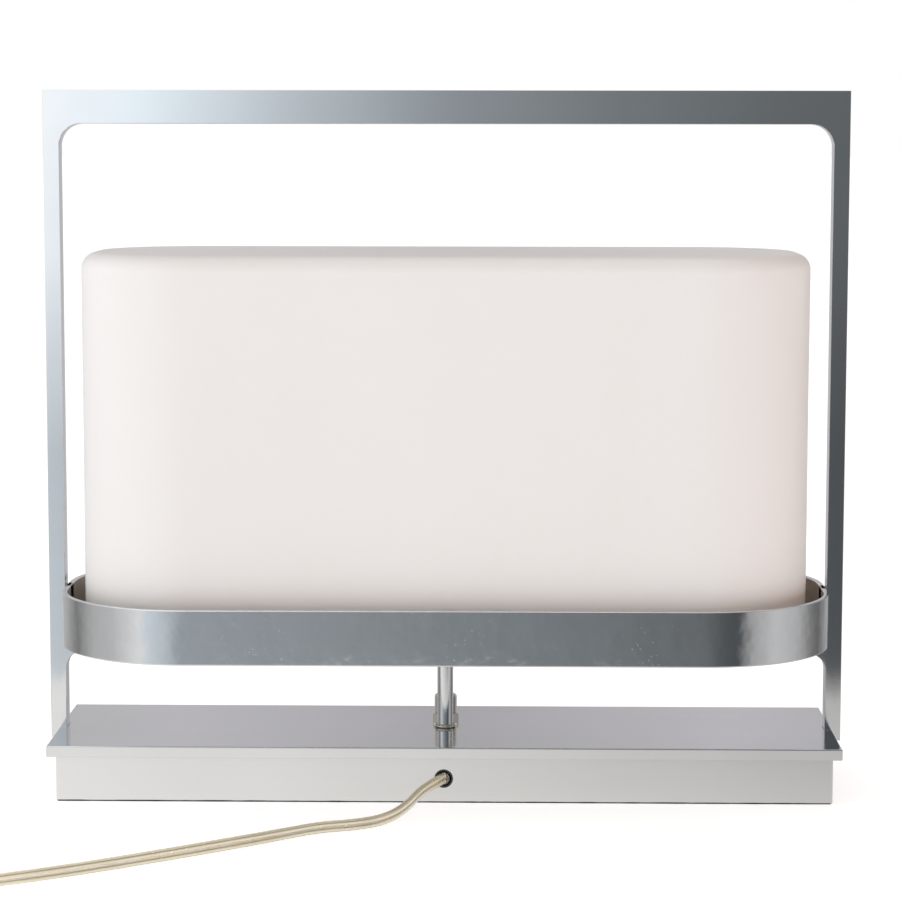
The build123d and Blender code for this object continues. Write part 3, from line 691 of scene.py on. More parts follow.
@dataclass
class Base:
    """The heavy plate, the skirt under it and the felt that it stands on."""

    length: float = 447.0
    depth: float = 116.8
    plate_underside: float = 26.2
    plate: float = 6.35
    arris: float = 0.6
    inset: float = 4.6
    felt: float = 0.8
    skirt_wall: float = 2.0
    skirt_corner: float = 1.1
    notch_x: float = 219.4
    notch_y: float = 5.65
    pipe_hole: float = 4.1
    switch_hole: float = 4.85
    switch_y: float = 17.0
    skirt_edge: float = 0.25
    outlet: float = 5.3
    outlet_height: float = 14.0
    outlet_reach: float = 9.0
    felt_corner: float = 1.5
    felt_shy: float = 0.3

    def build(self, shop: PaintShop) -> None:
        """Makes the plate, skirt and felt, and dresses what closes the base.

        Args:
            shop: Finishes the pieces.
        """
        half_x, half_y = self.length / 2, self.depth / 2
        outline = [(half_x, -half_y), (half_x, -self.notch_y), (self.notch_x, -self.notch_y),
                   (self.notch_x, self.notch_y), (half_x, self.notch_y), (half_x, half_y)]
        outline += [(-x, -y) for x, y in outline]
        middle = (self.plate_underside + self.plate / 2) * MM
        holes = [circle(0, 0, self.pipe_hole), circle(0, self.switch_y, self.switch_hole)]
        plate = cut_plate("base_plate_polished", [outline, *holes], self.plate, self.arris,
                          Matrix.Translation((0, 0, middle)), 3)
        shop.finish(plate, "plate_nickel", "polished_nickel", "lamp", "base_plate")
        shop.finish(self.make_skirt(), "skirt_nickel", "skirt_nickel", "lamp", "base_skirt")
        shop.finish(self.make_felt(), "felt", "felt", "lamp", "base_felt")
        shop.dress("zinc_steel", "bottom_cover", "cover_posts", "cover_screws", "cord_clamp")
        shop.dress("black_plastic", "cord_liner")

    def make_skirt(self) -> bpy.types.Object:
        """The folded skirt, with the cord's outlet bored through its back wall."""
        length, depth = self.length - 2 * self.inset, self.depth - 2 * self.inset
        outline = Oblong(length, depth, self.skirt_corner, 6, 40)
        low, high, wall, edge = self.felt, self.plate_underside, self.skirt_wall, self.skirt_edge
        profile = [(edge, low), (0, low + edge), (0, high), (wall, high), (wall, low)]
        skirt = from_rings("skirt_blank", outline.walls(profile), loop=True)
        reach = self.outlet_reach
        bore = turned("outlet_bore", [(0, -reach), (self.outlet, -reach), (self.outlet, reach), (0, reach)])
        place = Matrix.Translation((0, -depth / 2 * MM, self.outlet_height * MM))
        bore.data.transform(place @ Matrix.Rotation(math.pi / 2, 4, "X"))
        boring = skirt.modifiers.new("bore", "BOOLEAN")
        boring.object, boring.operation, boring.solver = bore, "DIFFERENCE", "EXACT"
        piece = frozen(skirt, "base_skirt_folded")
        bpy.data.objects.remove(bore)
        return soften(piece)

    def make_felt(self) -> bpy.types.Object:
        """The felt sheet, with a hand-cut edge."""
        length, depth = self.length - 2 * self.inset, self.depth - 2 * self.inset
        outline = Oblong(length, depth, self.felt_corner, 6, 160)

        def ragged(x: float, y: float, z: float) -> Point:
            """Draws a point of the edge in a little, unevenly."""
            pull = 0.35 * noise.noise(Vector((x, y, 0)) * 0.12)
            pull += 0.2 * noise.noise(Vector((x, y, z * 4)) * 0.6)
            shrink = 1 - max(0.0, self.felt_shy + pull) / (self.depth / 2)
            return x * (1 - (1 - shrink) * 0.25), y * shrink, z

        profile = [(0.3, 0.0), (0.02, 0.2), (0.0, 0.6), (0.15, self.felt)]
        return from_rings("base_felt_cut", outline.walls(profile, ragged))


@dataclass
class BarFrame:
    """The flat-bar frame: two uprights, a deep top bar and the crossbar under the shade."""

    bars: tuple[str, ...] = ("top_bar", "crossbar", "top_corner_left", "top_corner_right", "upright_left",
                             "upright_right", "crossbar_gusset_left", "crossbar_gusset_right")
    width: float = 457.2
    top: float = 399.3
    foot: float = 26.2
    depth: float = 11.1
    upright: float = 9.2
    top_bar: float = 19.0
    crossbar_low: float = 77.0
    crossbar_high: float = 86.2
    upper_corner: float = 12.7
    lower_corner: float = 10.0
    arris: float = 0.4

    def build(self, shop: PaintShop) -> None:
        """Makes the frame.

        Args:
            shop: Finishes the pieces.
        """
        half, inner = self.width / 2, self.width / 2 - self.upright
        low, high = self.lower_corner, self.upper_corner
        foot = arc(inner - low, self.crossbar_low - low, low, 0, 90, 16)
        outer = [(half, self.foot), (half, self.top), (-half, self.top), (-half, self.foot)]
        outer += [(-inner, self.foot)] + [(-x, z) for x, z in foot] + foot[::-1] + [(inner, self.foot)]
        bend = arc(inner - high, self.top - self.top_bar - high, high, 0, 90, 16)
        window = [(-inner, self.crossbar_high), (inner, self.crossbar_high)]
        window += bend + [(-x, z) for x, z in bend[::-1]]
        upright = Matrix.Rotation(math.pi / 2, 4, "X")
        piece = cut_plate("frame_polished", [outer, window], self.depth, self.arris, upright)
        shop.finish(piece, "polished_nickel", "polished_nickel", "lamp", *self.bars)


@dataclass
class Stem:
    """The tube from the plate to the crossbar, its collar, and the pipe inside with its fastenings."""

    radius: float = 4.6
    wall: float = 0.45
    foot: float = 32.55
    head: float = 77.0
    collar: float = 6.8
    collar_height: float = 1.9
    collar_gap: float = 0.1

    def build(self, shop: PaintShop) -> None:
        """Makes the tube and its collar.

        Args:
            shop: Finishes the pieces.
        """
        inner = self.radius - self.wall
        walls = [(self.radius, self.foot), (self.radius, self.head), (inner, self.head), (inner, self.foot)]
        tube = turned("centre_tube_drawn", walls, loop=True)
        shop.finish(tube, "tube_nickel", "polished_nickel", "lamp", "centre_tube")
        bead, bore = self.collar_height / 2, self.radius + self.collar_gap
        profile = [(bore, self.foot + self.collar_height), (bore, self.foot)]
        profile += arc(self.collar - bead, self.foot + bead, bead, -90, 90, 16)
        collar = turned("tube_collar_bead", profile, loop=True)
        shop.finish(collar, "warm_nickel", "warm_nickel", "lamp", "tube_collar")
        shop.dress("zinc_steel", "lamp_pipe", "pipe_washer", "pipe_lower_nut", "pipe_upper_nut",
                   "socket_nipple_left", "socket_nipple_right")


@dataclass
class ShadeBand:
    """The band round the foot of the shade, and the ledge that it hides."""

    length: float = 438.8
    depth: float = 177.8
    corner: float = 76.2
    wall: float = 3.2
    underside: float = 84.5
    height: float = 30.8
    edge: float = 0.8
    notch_y: float = 5.65
    notch_top: float = 86.2
    seam: float = 0.01
    flat_face: float = 0.3

    def build(self, shop: PaintShop) -> None:
        """Makes the band and dresses what it carries.

        Args:
            shop: Finishes the pieces.
        """
        marks = (-self.notch_y - self.seam, -self.notch_y, self.notch_y, self.notch_y + self.seam)
        outline = Oblong(self.length, self.depth, self.corner, 32, 48, marks)
        low, high, edge, wall = self.underside, self.underside + self.height, self.edge, self.wall
        profile = arc(edge, high - edge, edge, 180, 90, 4)
        profile += arc(wall - edge, high - edge, edge, 90, 0, 4)
        profile += arc(wall - edge, low + edge, edge, 0, -90, 4)
        profile += arc(edge, low + edge, edge, 270, 180, 4)
        profile += [(0.0, low + self.height * part) for part in (0.25, 0.5, 0.75)]

        def notched(x: float, y: float, z: float) -> Point:
            """Lifts the lower edge over the crossbar's ends."""
            over = abs(y) < self.notch_y + self.seam / 2 and z < self.notch_top
            return x, y, self.notch_top if over else z

        band = true_flats(from_rings("shade_band_rolled", outline.walls(profile, notched), loop=True))
        shop.finish(band, "band_nickel", "polished_nickel", "lamp", "shade_band")
        # Upright faces that look inwards get the darker inner finish, which is painted shade for the dim gap
        # between band and glass.
        band.data.materials.append(shop.material("band_lining"))
        for face in band.data.polygons:
            outwards = face.normal.x * face.center.x / self.length
            outwards += face.normal.y * face.center.y / self.depth
            face.material_index = int(outwards < 0 and abs(face.normal.z) < self.flat_face)
        shop.dress("enamel", "shade_ledge", "socket_strap", "shade_clips")
        shop.dress("gasket_felt", "shade_gasket")


@dataclass
class OpalShade:
    """The blown opal shade: upright walls, rounded shoulders and a low crown."""

    inset: float = 13.3
    wall: float = 3.5
    shoulder: float = 9.0
    rim: float = 88.7
    top: float = 309.0
    crown: float = 0.7
    waver: float = 0.12
    half_depth: float = 75.0
    middle: float = 75.8

    def build(self, shop: PaintShop) -> None:
        """Makes the shade as one closed skin.

        Args:
            shop: Finishes the pieces.
        """
        band = ShadeBand()
        outline = Oblong(band.length, band.depth, band.corner, 28, 40)
        outer = self.skin(self.inset, self.shoulder, self.top, self.rim + self.wall / 2, 20)
        inner = self.skin(self.inset + self.wall, self.shoulder - self.wall, self.top - self.wall,
                          self.rim + self.wall / 2, 20)
        rim = arc(self.inset + self.wall / 2, self.rim + self.wall / 2, self.wall / 2, 180, 360, 8)[1:-1]

        def blown(x: float, y: float, z: float) -> Point:
            """Moves the glass in by the little that a mould leaves."""
            drift = 0.5 + 0.5 * noise.noise(Vector((x, y, z)) * 0.012)
            sway = 1 - self.waver / self.half_depth * drift
            return x * sway, y * sway, z

        piece = from_rings("glass_shade_blown", outline.walls(outer + rim + inner[::-1], blown))
        shop.finish(piece, "opal_glass", "opal_glass", "shade", "glass_shade")

    def skin(self, inset: float, shoulder: float, top: float, bottom: float,
             rows: int) -> list[tuple[float, float]]:
        """One face of the glass, from the middle of its top down to its rim.

        Args:
            inset: How far its walls stand inside the band's outline.
            shoulder: The radius between its walls and its top.
            top: The height of the middle of its top.
            bottom: The height that its walls reach down to.
            rows: Rings in the walls.

        Returns:
            Inset and height pairs.
        """
        edge = inset + shoulder
        level = top - self.crown
        crown = []
        for part in (i / 8 for i in range(8)):
            swell = self.crown * math.cos(math.pi / 2 * part) ** 2
            crown.append((edge + (self.middle - edge) * (1 - part), level + swell))
        bend = arc(edge, level - shoulder, shoulder, 90, 180, 10)
        drop = level - shoulder - bottom
        return crown + bend + [(inset, bottom + drop * (1 - i / rows)) for i in range(1, rows + 1)]


@dataclass
class Lampholders:
    """Two lampholders and their bulbs, hidden in the shade."""

    spacing: float = 210.0
    cap_bottom: float = 101.9
    cap_tip: float = 4.0
    cap_height: float = 22.0
    cap_radius: float = 13.1
    groove: float = 0.7
    pitch: float = 3.6
    threads: int = 5
    thread_start: float = 1.4
    neck: float = 12.5
    bulb: float = 30.0
    rise: float = 50.0
    glass: float = 0.8

    def build(self, shop: PaintShop) -> None:
        """Makes both bulbs and dresses both lampholders.

        Args:
            shop: Finishes the pieces.
        """
        for side in Side:
            self.make_bulb(shop, side)
            shop.dress("porcelain", f"socket_body_{side.word}")
            shop.dress("brass", f"screw_shell_{side.word}", f"socket_contact_{side.word}")

    def make_bulb(self, shop: PaintShop, side: Side) -> None:
        """The pear-shaped glass, its cap and the cap's rolled thread.

        Args:
            shop: Finishes the pieces.
            side: The half of the lamp that the bulb is in.
        """
        x, body = side.value * self.spacing / 2, f"bulb_{side.word}"
        foot = self.cap_bottom + self.cap_tip + self.cap_height
        outer, inner = self.pear(foot, 0.0), self.pear(foot, self.glass)
        glass = turned(f"bulb_glass_{side.word}_blown", outer + inner[::-1], (x, 0), loop=True)
        shop.finish(glass, "bulb_frost", "bulb_frost", body, f"bulb_glass_{side.word}")
        core, low = self.cap_radius - self.groove, self.cap_bottom + self.cap_tip
        tip = self.cap_bottom
        profile = [(0, tip), (3.2, tip), (4.6, tip + 1.0), (5.0, tip + 1.2), (10.5, low - 0.6), (core, low),
                   (core, foot - 1.6), (self.cap_radius, foot - 0.9), (self.cap_radius, foot), (0, foot)]
        cap = turned(f"bulb_cap_{side.word}_drawn", profile, (x, 0))
        shop.finish(cap, "cap_metal", "cap_metal", body, f"bulb_cap_{side.word}")
        shop.finish(self.make_thread(shop, side, x, low), "", "cap_metal", body)

    def pear(self, foot: float, shrink: float) -> list[tuple[float, float]]:
        """A bulb's outline from its neck to its crown.

        Args:
            foot: The height of its neck's lower end.
            shrink: How far inside the outer face the outline lies.

        Returns:
            Radius and height pairs.
        """
        neck, full, middle = self.neck - shrink, self.bulb - shrink, foot + self.rise
        steps = 18
        points = []
        for i in range(steps):
            part = i / steps
            ease = part ** 1.25 * part * (3 - 2 * part) ** 0.9
            height = foot + shrink * (i > 0) + (self.rise - shrink) * part
            points.append((neck + (full - neck) * min(ease, 1.0), height))
        dome = arc(0, middle, full, 0, 90, 18)
        return points + dome[:-1] + [(0.0, middle + full)]

    def make_thread(self, shop: PaintShop, side: Side, x: float, low: float) -> bpy.types.Object:
        """The thread rolled into a cap, wound by Geometry Nodes.

        Args:
            shop: Has the cap's material.
            side: The half of the lamp that the bulb is in.
            x: The cap's axis.
            low: The height of the cap's lower end.

        Returns:
            The thread.
        """
        wire, turns = self.groove * 0.95, self.threads - 0.5
        grown = GrownTree(f"cap_thread_{side.word}", {
            "Turns": turns, "Radius": (self.cap_radius - wire) * MM, "Height": self.pitch * turns * MM,
            "Wire": wire * MM}, shop.material("cap_metal"))
        table, sizes = grown.table, grown.inputs
        spiral = table.add("GeometryNodeCurveSpiral", None, {
            "Resolution": 64, "Rotations": sizes["Turns"], "Start Radius": sizes["Radius"],
            "End Radius": sizes["Radius"], "Height": sizes["Height"]}).outputs[0]
        ring = table.add("GeometryNodeCurvePrimitiveCircle", None, {
            "Resolution": 10, "Radius": sizes["Wire"]}).outputs[0]
        wound = table.add("GeometryNodeCurveToMesh", None, {
            0: spiral, "Profile Curve": ring, "Fill Caps": True})
        moved = table.add("GeometryNodeTransform", None, {
            0: wound.outputs[0], "Translation": (x * MM, 0, (low + self.thread_start) * MM)})
        return grown.grow(f"bulb_thread_{side.word}", moved.outputs[0])


@dataclass
class RotarySwitch:
    """The rotary switch on the plate: its knob, nut and bushing, and the body under the plate."""

    offset: float = 17.0
    underside: float = 37.5
    height: float = 10.8
    radius: float = 6.5
    edge: float = 1.2
    bore: float = 2.0
    bore_depth: float = 7.0

    def build(self, shop: PaintShop) -> None:
        """Makes the knob and dresses the rest.

        Args:
            shop: Finishes the pieces.
        """
        low, high = self.underside, self.underside + self.height
        profile = [(self.bore, low), (self.radius - 0.3, low), (self.radius, low + 0.3)]
        profile += [(self.radius, low + 4.0), (self.radius, high - 4.0)]
        profile += arc(self.radius - self.edge, high - self.edge, self.edge, 0, 90, 10)
        profile += [(self.radius - 2.2, high - 0.06), (2.0, high - 0.22), (0, high - 0.25)]
        profile += [(0, low + self.bore_depth), (self.bore, low + self.bore_depth)]
        knob = turned("switch_knob_turned", profile, (0, self.offset), loop=True)
        shop.finish(knob, "warm_nickel", "warm_nickel", "knob", "switch_knob")
        shop.dress("warm_nickel", "switch_nut", "switch_bushing", "switch_shaft")
        shop.dress("black_plastic", "switch_body")


@dataclass
class MainsCord:
    """The flat twin cord: out of the base, along the table, and wound into a coil beside the lamp."""

    width: float = 6.6
    lobe: float = 1.72
    lobe_offset: float = 1.58
    strand: float = 0.9
    rest: float = 3.4
    coil_x: float = -281.0
    coil_y: float = -217.5
    coil_radius: float = 39.0
    coil_turns: float = 5.334
    turn_points: int = 16
    real_length: float = 1.66
    route: tuple[Point, ...] = (
        (0, -53.8, 14), (-11, -68.5, 12), (-20.5, -87.5, 5.2), (-31.5, -107.5, 3.4), (-48, -118.6, 3.4),
        (-66, -124.2, 3.4), (-82, -137.2, 3.4), (-103.5, -154.6, 3.4), (-133, -176.9, 3.4), (-162.5, -198.4, 3.4),
        (-191, -218, 3.4), (-219.5, -234.5, 3.4))
    end_route: tuple[Point, ...] = (
        (-326.5, -199, 8.8), (-325.2, -181, 7.3), (-323, -165, 7.5), (-323, -151, 7.5))
    coil_start: tuple[float, float] = (23.0, -39.5)
    coil_lay: tuple[Point, ...] = (
        (0.0, 6.6, 0.0), (2.0, -6.6, 0.0), (2.45, -8.2, 0.0), (2.6, -8.2, 0.6), (2.95, -8.2, 6.2),
        (3.1, -8.0, 6.6), (4.0, 0.0, 6.6), (5.0, 6.6, 6.6), (6.0, 6.6, 6.6))
    tie_reach: float = 8.5
    tie_rise: float = 4.9
    tie_middle: float = 6.7
    tie_corner: float = 1.5
    tie_lip: float = 1.4
    tie_gauge: float = 0.3
    tie_half: float = 2.2
    tie_floor: float = 0.03

    def coil(self) -> list[Point]:
        """The coil's turns, inwards on the table and outwards on top, clockwise from above."""
        knots = self.coil_lay
        start = math.atan2(self.coil_start[1], self.coil_start[0])
        count = round(self.coil_turns * self.turn_points)
        points = []
        for i in range(count + 1):
            turn = self.coil_turns * i / count
            k = max(j for j in range(len(knots) - 1) if knots[j][0] <= turn)
            (t0, r0, z0), (t1, r1, z1) = knots[k], knots[k + 1]
            part = (turn - t0) / (t1 - t0)
            radius = self.coil_radius + r0 + (r1 - r0) * part
            angle = start - math.tau * turn
            x, y = self.coil_x + radius * math.cos(angle), self.coil_y + radius * math.sin(angle)
            points.append((x, y, self.rest + z0 + (z1 - z0) * part))
        return points

    def centreline(self) -> list[Vector]:
        """Points along the cord's one smooth spline, in metres."""
        points = [*self.route, *self.coil(), *self.end_route]
        curve = bpy.data.curves.new("cord_line", "CURVE")
        curve.dimensions, curve.resolution_u = "3D", 7
        spline = curve.splines.new("NURBS")
        spline.points.add(len(points) - 1)
        for knot, point in zip(spline.points, points):
            knot.co = (*(v * MM for v in point), 1)
        spline.order_u, spline.use_endpoint_u = 3, True
        line = frozen(link("cord_line", curve), "cord_line_read")
        path = [vertex.co.copy() for vertex in line.data.vertices]
        bpy.data.objects.remove(line)
        return path

    def twin(self) -> list[tuple[float, float]]:
        """The section of the twin cord, with its groove."""
        start = math.degrees(math.asin(self.lobe_offset / self.lobe))
        top = arc(0, self.lobe_offset, self.lobe, -start, 180 + start, 15)
        bottom = arc(0, -self.lobe_offset, self.lobe, 180 - start, 360 + start, 15)
        return top + bottom[1:-1]

    def sweep(self, shape: bmesh.types.BMesh, path: Sequence[Vector],
              section: Sequence[tuple[float, float]], slot: int) -> None:
        """Draws a section along the cord, standing on edge with a slow twist.

        Args:
            shape: The mesh that it is added to.
            path: Points of the centreline.
            section: Across and up pairs, in millimetres.
            slot: The material's place on the mesh.
        """
        rows, travelled = [], 0.0
        for i, here in enumerate(path):
            before, after = path[max(i - 1, 0)], path[min(i + 1, len(path) - 1)]
            along = (after - before).normalized()
            travelled += (here - before).length
            twist = 0.14 * math.sin(travelled * 23.0)
            twist += 0.07 * math.sin(travelled * 61.0 + 1.0)
            side = along.cross(Vector((0, 0, 1))).normalized()
            rise = side.cross(along)
            across = side * math.cos(twist) + rise * math.sin(twist)
            upwards = rise * math.cos(twist) - side * math.sin(twist)
            rows.append([shape.verts.new(here + (across * u + upwards * v) * MM) for u, v in section])
        faces = [shape.faces.new(rows[0]), shape.faces.new(rows[-1][::-1])]
        for first, second in zip(rows, rows[1:]):
            for j in range(len(section)):
                k = (j + 1) % len(section)
                faces.append(shape.faces.new((first[k], first[j], second[j], second[k])))
        for face in faces:
            face.material_index = slot

    def build(self, shop: PaintShop, plug: Sequence[bpy.types.Object]) -> None:
        """Makes the cord with its two stranded cores, and the tie round its coil.

        Args:
            shop: Finishes the pieces.
            plug: The plug's pieces; not used.
        """
        path = self.centreline()
        shape = bmesh.new()
        self.sweep(shape, path, self.twin(), 0)
        for sign in (-1, 1):
            self.sweep(shape, path, circle(0, sign * self.lobe_offset, self.strand, 10), 1)
        bmesh.ops.recalc_face_normals(shape, faces=shape.faces)
        mesh = bpy.data.meshes.new("mains_cord")
        shape.to_mesh(mesh)
        shape.free()
        mesh.materials.append(shop.material("clear_cord"))
        mesh.materials.append(shop.material("tinned_copper"))
        cord = soften(link("mains_cord", mesh), 60.0)
        shop.finish(cord, "", "clear_cord", "lamp", "cord_run", "cord_coil", "cord_end")
        tie = self.make_tie()
        shop.finish(tie, "tie_plastic", "plug_plastic", "lamp")
        shop.dress("clear_cord", "cord_inside")

    def make_tie(self) -> bpy.types.Object:
        """A thin strap round the coil's turns, on its far side."""
        loops = []
        for grow in (0.0, self.tie_gauge):
            outline = []
            for bend in (math.radians(d) for d in range(5, 365, 10)):
                c, s = math.cos(bend), math.sin(bend)
                across = math.copysign(self.tie_reach, c) + (self.tie_corner + grow) * c
                height = math.copysign(self.tie_rise, s) + (self.tie_lip + grow * (s > 0)) * s
                outline.append((self.coil_radius + across, max(self.tie_middle + height, self.tie_floor)))
            loops.append(outline)
        rings = []
        for x, loop in zip((-self.tie_half, -self.tie_half, self.tie_half, self.tie_half),
                           (loops[0], loops[1], loops[1], loops[0])):
            rings.append([(self.coil_x + x, self.coil_y + y, z) for y, z in loop])
        return from_rings("cord_tie", rings, loop=True)


@dataclass
class Plug:
    """The flat moulded plug, its grip ribs and its two blades."""

    x: float = -323.0
    y: float = -151.0
    z: float = 7.5
    width: float = 24.0
    thickness: float = 15.0
    length: float = 31.0
    blade_spacing: float = 12.7
    blade_width: float = 6.3
    blade_thickness: float = 1.5
    blade_length: float = 16.0
    ribs: int = 5
    rib_start: float = 15.5
    rib_step: float = 2.4
    rib_half: float = 7.8
    rib_rise: float = 0.7
    rib_width: float = 0.8
    rib_sink: float = 0.35
    soft: float = 0.45

    def section(self, along: float, width: float, thickness: float) -> list[Point]:
        """A soft-cornered section of the plug's body.

        Args:
            along: Its distance from the cord's end.
            width: Its share of the full width.
            thickness: Its share of the full thickness.

        Returns:
            The ring.
        """
        points = []
        for c, s in circle(0, 0, 1):
            across = self.width * width / 2 * math.copysign(abs(c) ** self.soft, c)
            up = self.thickness * thickness / 2 * math.copysign(abs(s) ** self.soft, s)
            points.append((self.x + across, self.y + along, self.z + up))
        return points

    def build(self, shop: PaintShop) -> list[bpy.types.Object]:
        """Makes the body, the ribs and the blades."""
        stages = ((0, 0.42, 0.6), (0.8, 0.48, 0.68), (3, 0.55, 0.74), (6.5, 0.7, 0.86), (10, 0.86, 0.95),
                  (13, 0.95, 0.99), (18, 0.985, 1.0), (27, 1.0, 1.0), (30, 0.99, 0.985), (30.8, 0.965, 0.95),
                  (self.length, 0.92, 0.9))
        body = from_rings("plug_body_moulded", [self.section(*stage) for stage in stages])
        shop.finish(body, "plug_plastic", "plug_plastic", "lamp", "plug_body")
        ribs = shop.finish(self.make_ribs(shop), "", "plug_plastic", "lamp")
        blades = self.make_blades()
        shop.finish(blades, "brass", "brass", "lamp", "plug_blades")
        return [body, ribs, blades]

    def make_ribs(self, shop: PaintShop) -> bpy.types.Object:
        """Grip ribs across the plug's upper face, repeated by Geometry Nodes."""
        grown = GrownTree("plug_ribs", {
            "Count": self.ribs, "Step": self.rib_step * MM, "Half width": self.rib_half * MM,
            "Rise": self.rib_rise * MM}, shop.material("plug_plastic"))
        table, sizes = grown.table, grown.inputs
        top = self.z + self.thickness / 2 - self.rib_sink
        start = (self.x * MM, (self.y + self.rib_start) * MM, top * MM)
        step = table.add("ShaderNodeCombineXYZ", None, {1: sizes["Step"]}).outputs[0]
        line = table.add("GeometryNodeMeshLine", None, {
            "Count": sizes["Count"], "Start Location": start, "Offset": step}).outputs[0]
        ball = table.add("GeometryNodeMeshUVSphere", None, {
            "Segments": 24, "Rings": 12, "Radius": 1.0}).outputs[0]
        size = table.add("ShaderNodeCombineXYZ", None, {
            0: sizes["Half width"], 1: self.rib_width * MM, 2: sizes["Rise"]}).outputs[0]
        rows = table.add("GeometryNodeInstanceOnPoints", None, {
            "Points": line, "Instance": ball, "Scale": size})
        return grown.grow("plug_ribs_moulded", rows.outputs[0])

    def make_blades(self) -> bpy.types.Object:
        """Two flat blades with rounded tips and cross holes."""
        half = self.blade_width / 2
        end, tip = self.blade_length, self.blade_length - 1.2
        outline = [(0, -half), (tip, -half), (end, -half + 1.0), (end, half - 1.0), (tip, half), (0, half)]
        shape = bmesh.new()
        for side in Side:
            middle = (self.x + side.value * self.blade_spacing / 2, self.y + self.length, self.z)
            place = Matrix.Translation([v * MM for v in middle]) @ Matrix(
                ((0, 0, 1, 0), (1, 0, 0, 0), (0, 1, 0, 0), (0, 0, 0, 1)))
            blade = cut_plate("blade", [outline, circle(11.4, 0, 1.6, 24)], self.blade_thickness, 0.3, place)
            shape.from_mesh(blade.data)
            bpy.data.objects.remove(blade)
        mesh = bpy.data.meshes.new("plug_blades_stamped")
        shape.to_mesh(mesh)
        shape.free()
        return soften(link("plug_blades_stamped", mesh))


@dataclass
class Wiring:
    """The leads and their connectors."""

    leads: tuple[str, ...] = ("socket_lead_left", "socket_lead_right", "switch_leads")

    def build(self, shop: PaintShop) -> None:
        """Dresses the wiring.

        Args:
            shop: Finishes the pieces.
        """
        shop.dress("lead_insulation", *self.leads)
        shop.dress("connector_plastic", "wire_connectors")


# ---------------------------------------------------------------- studio


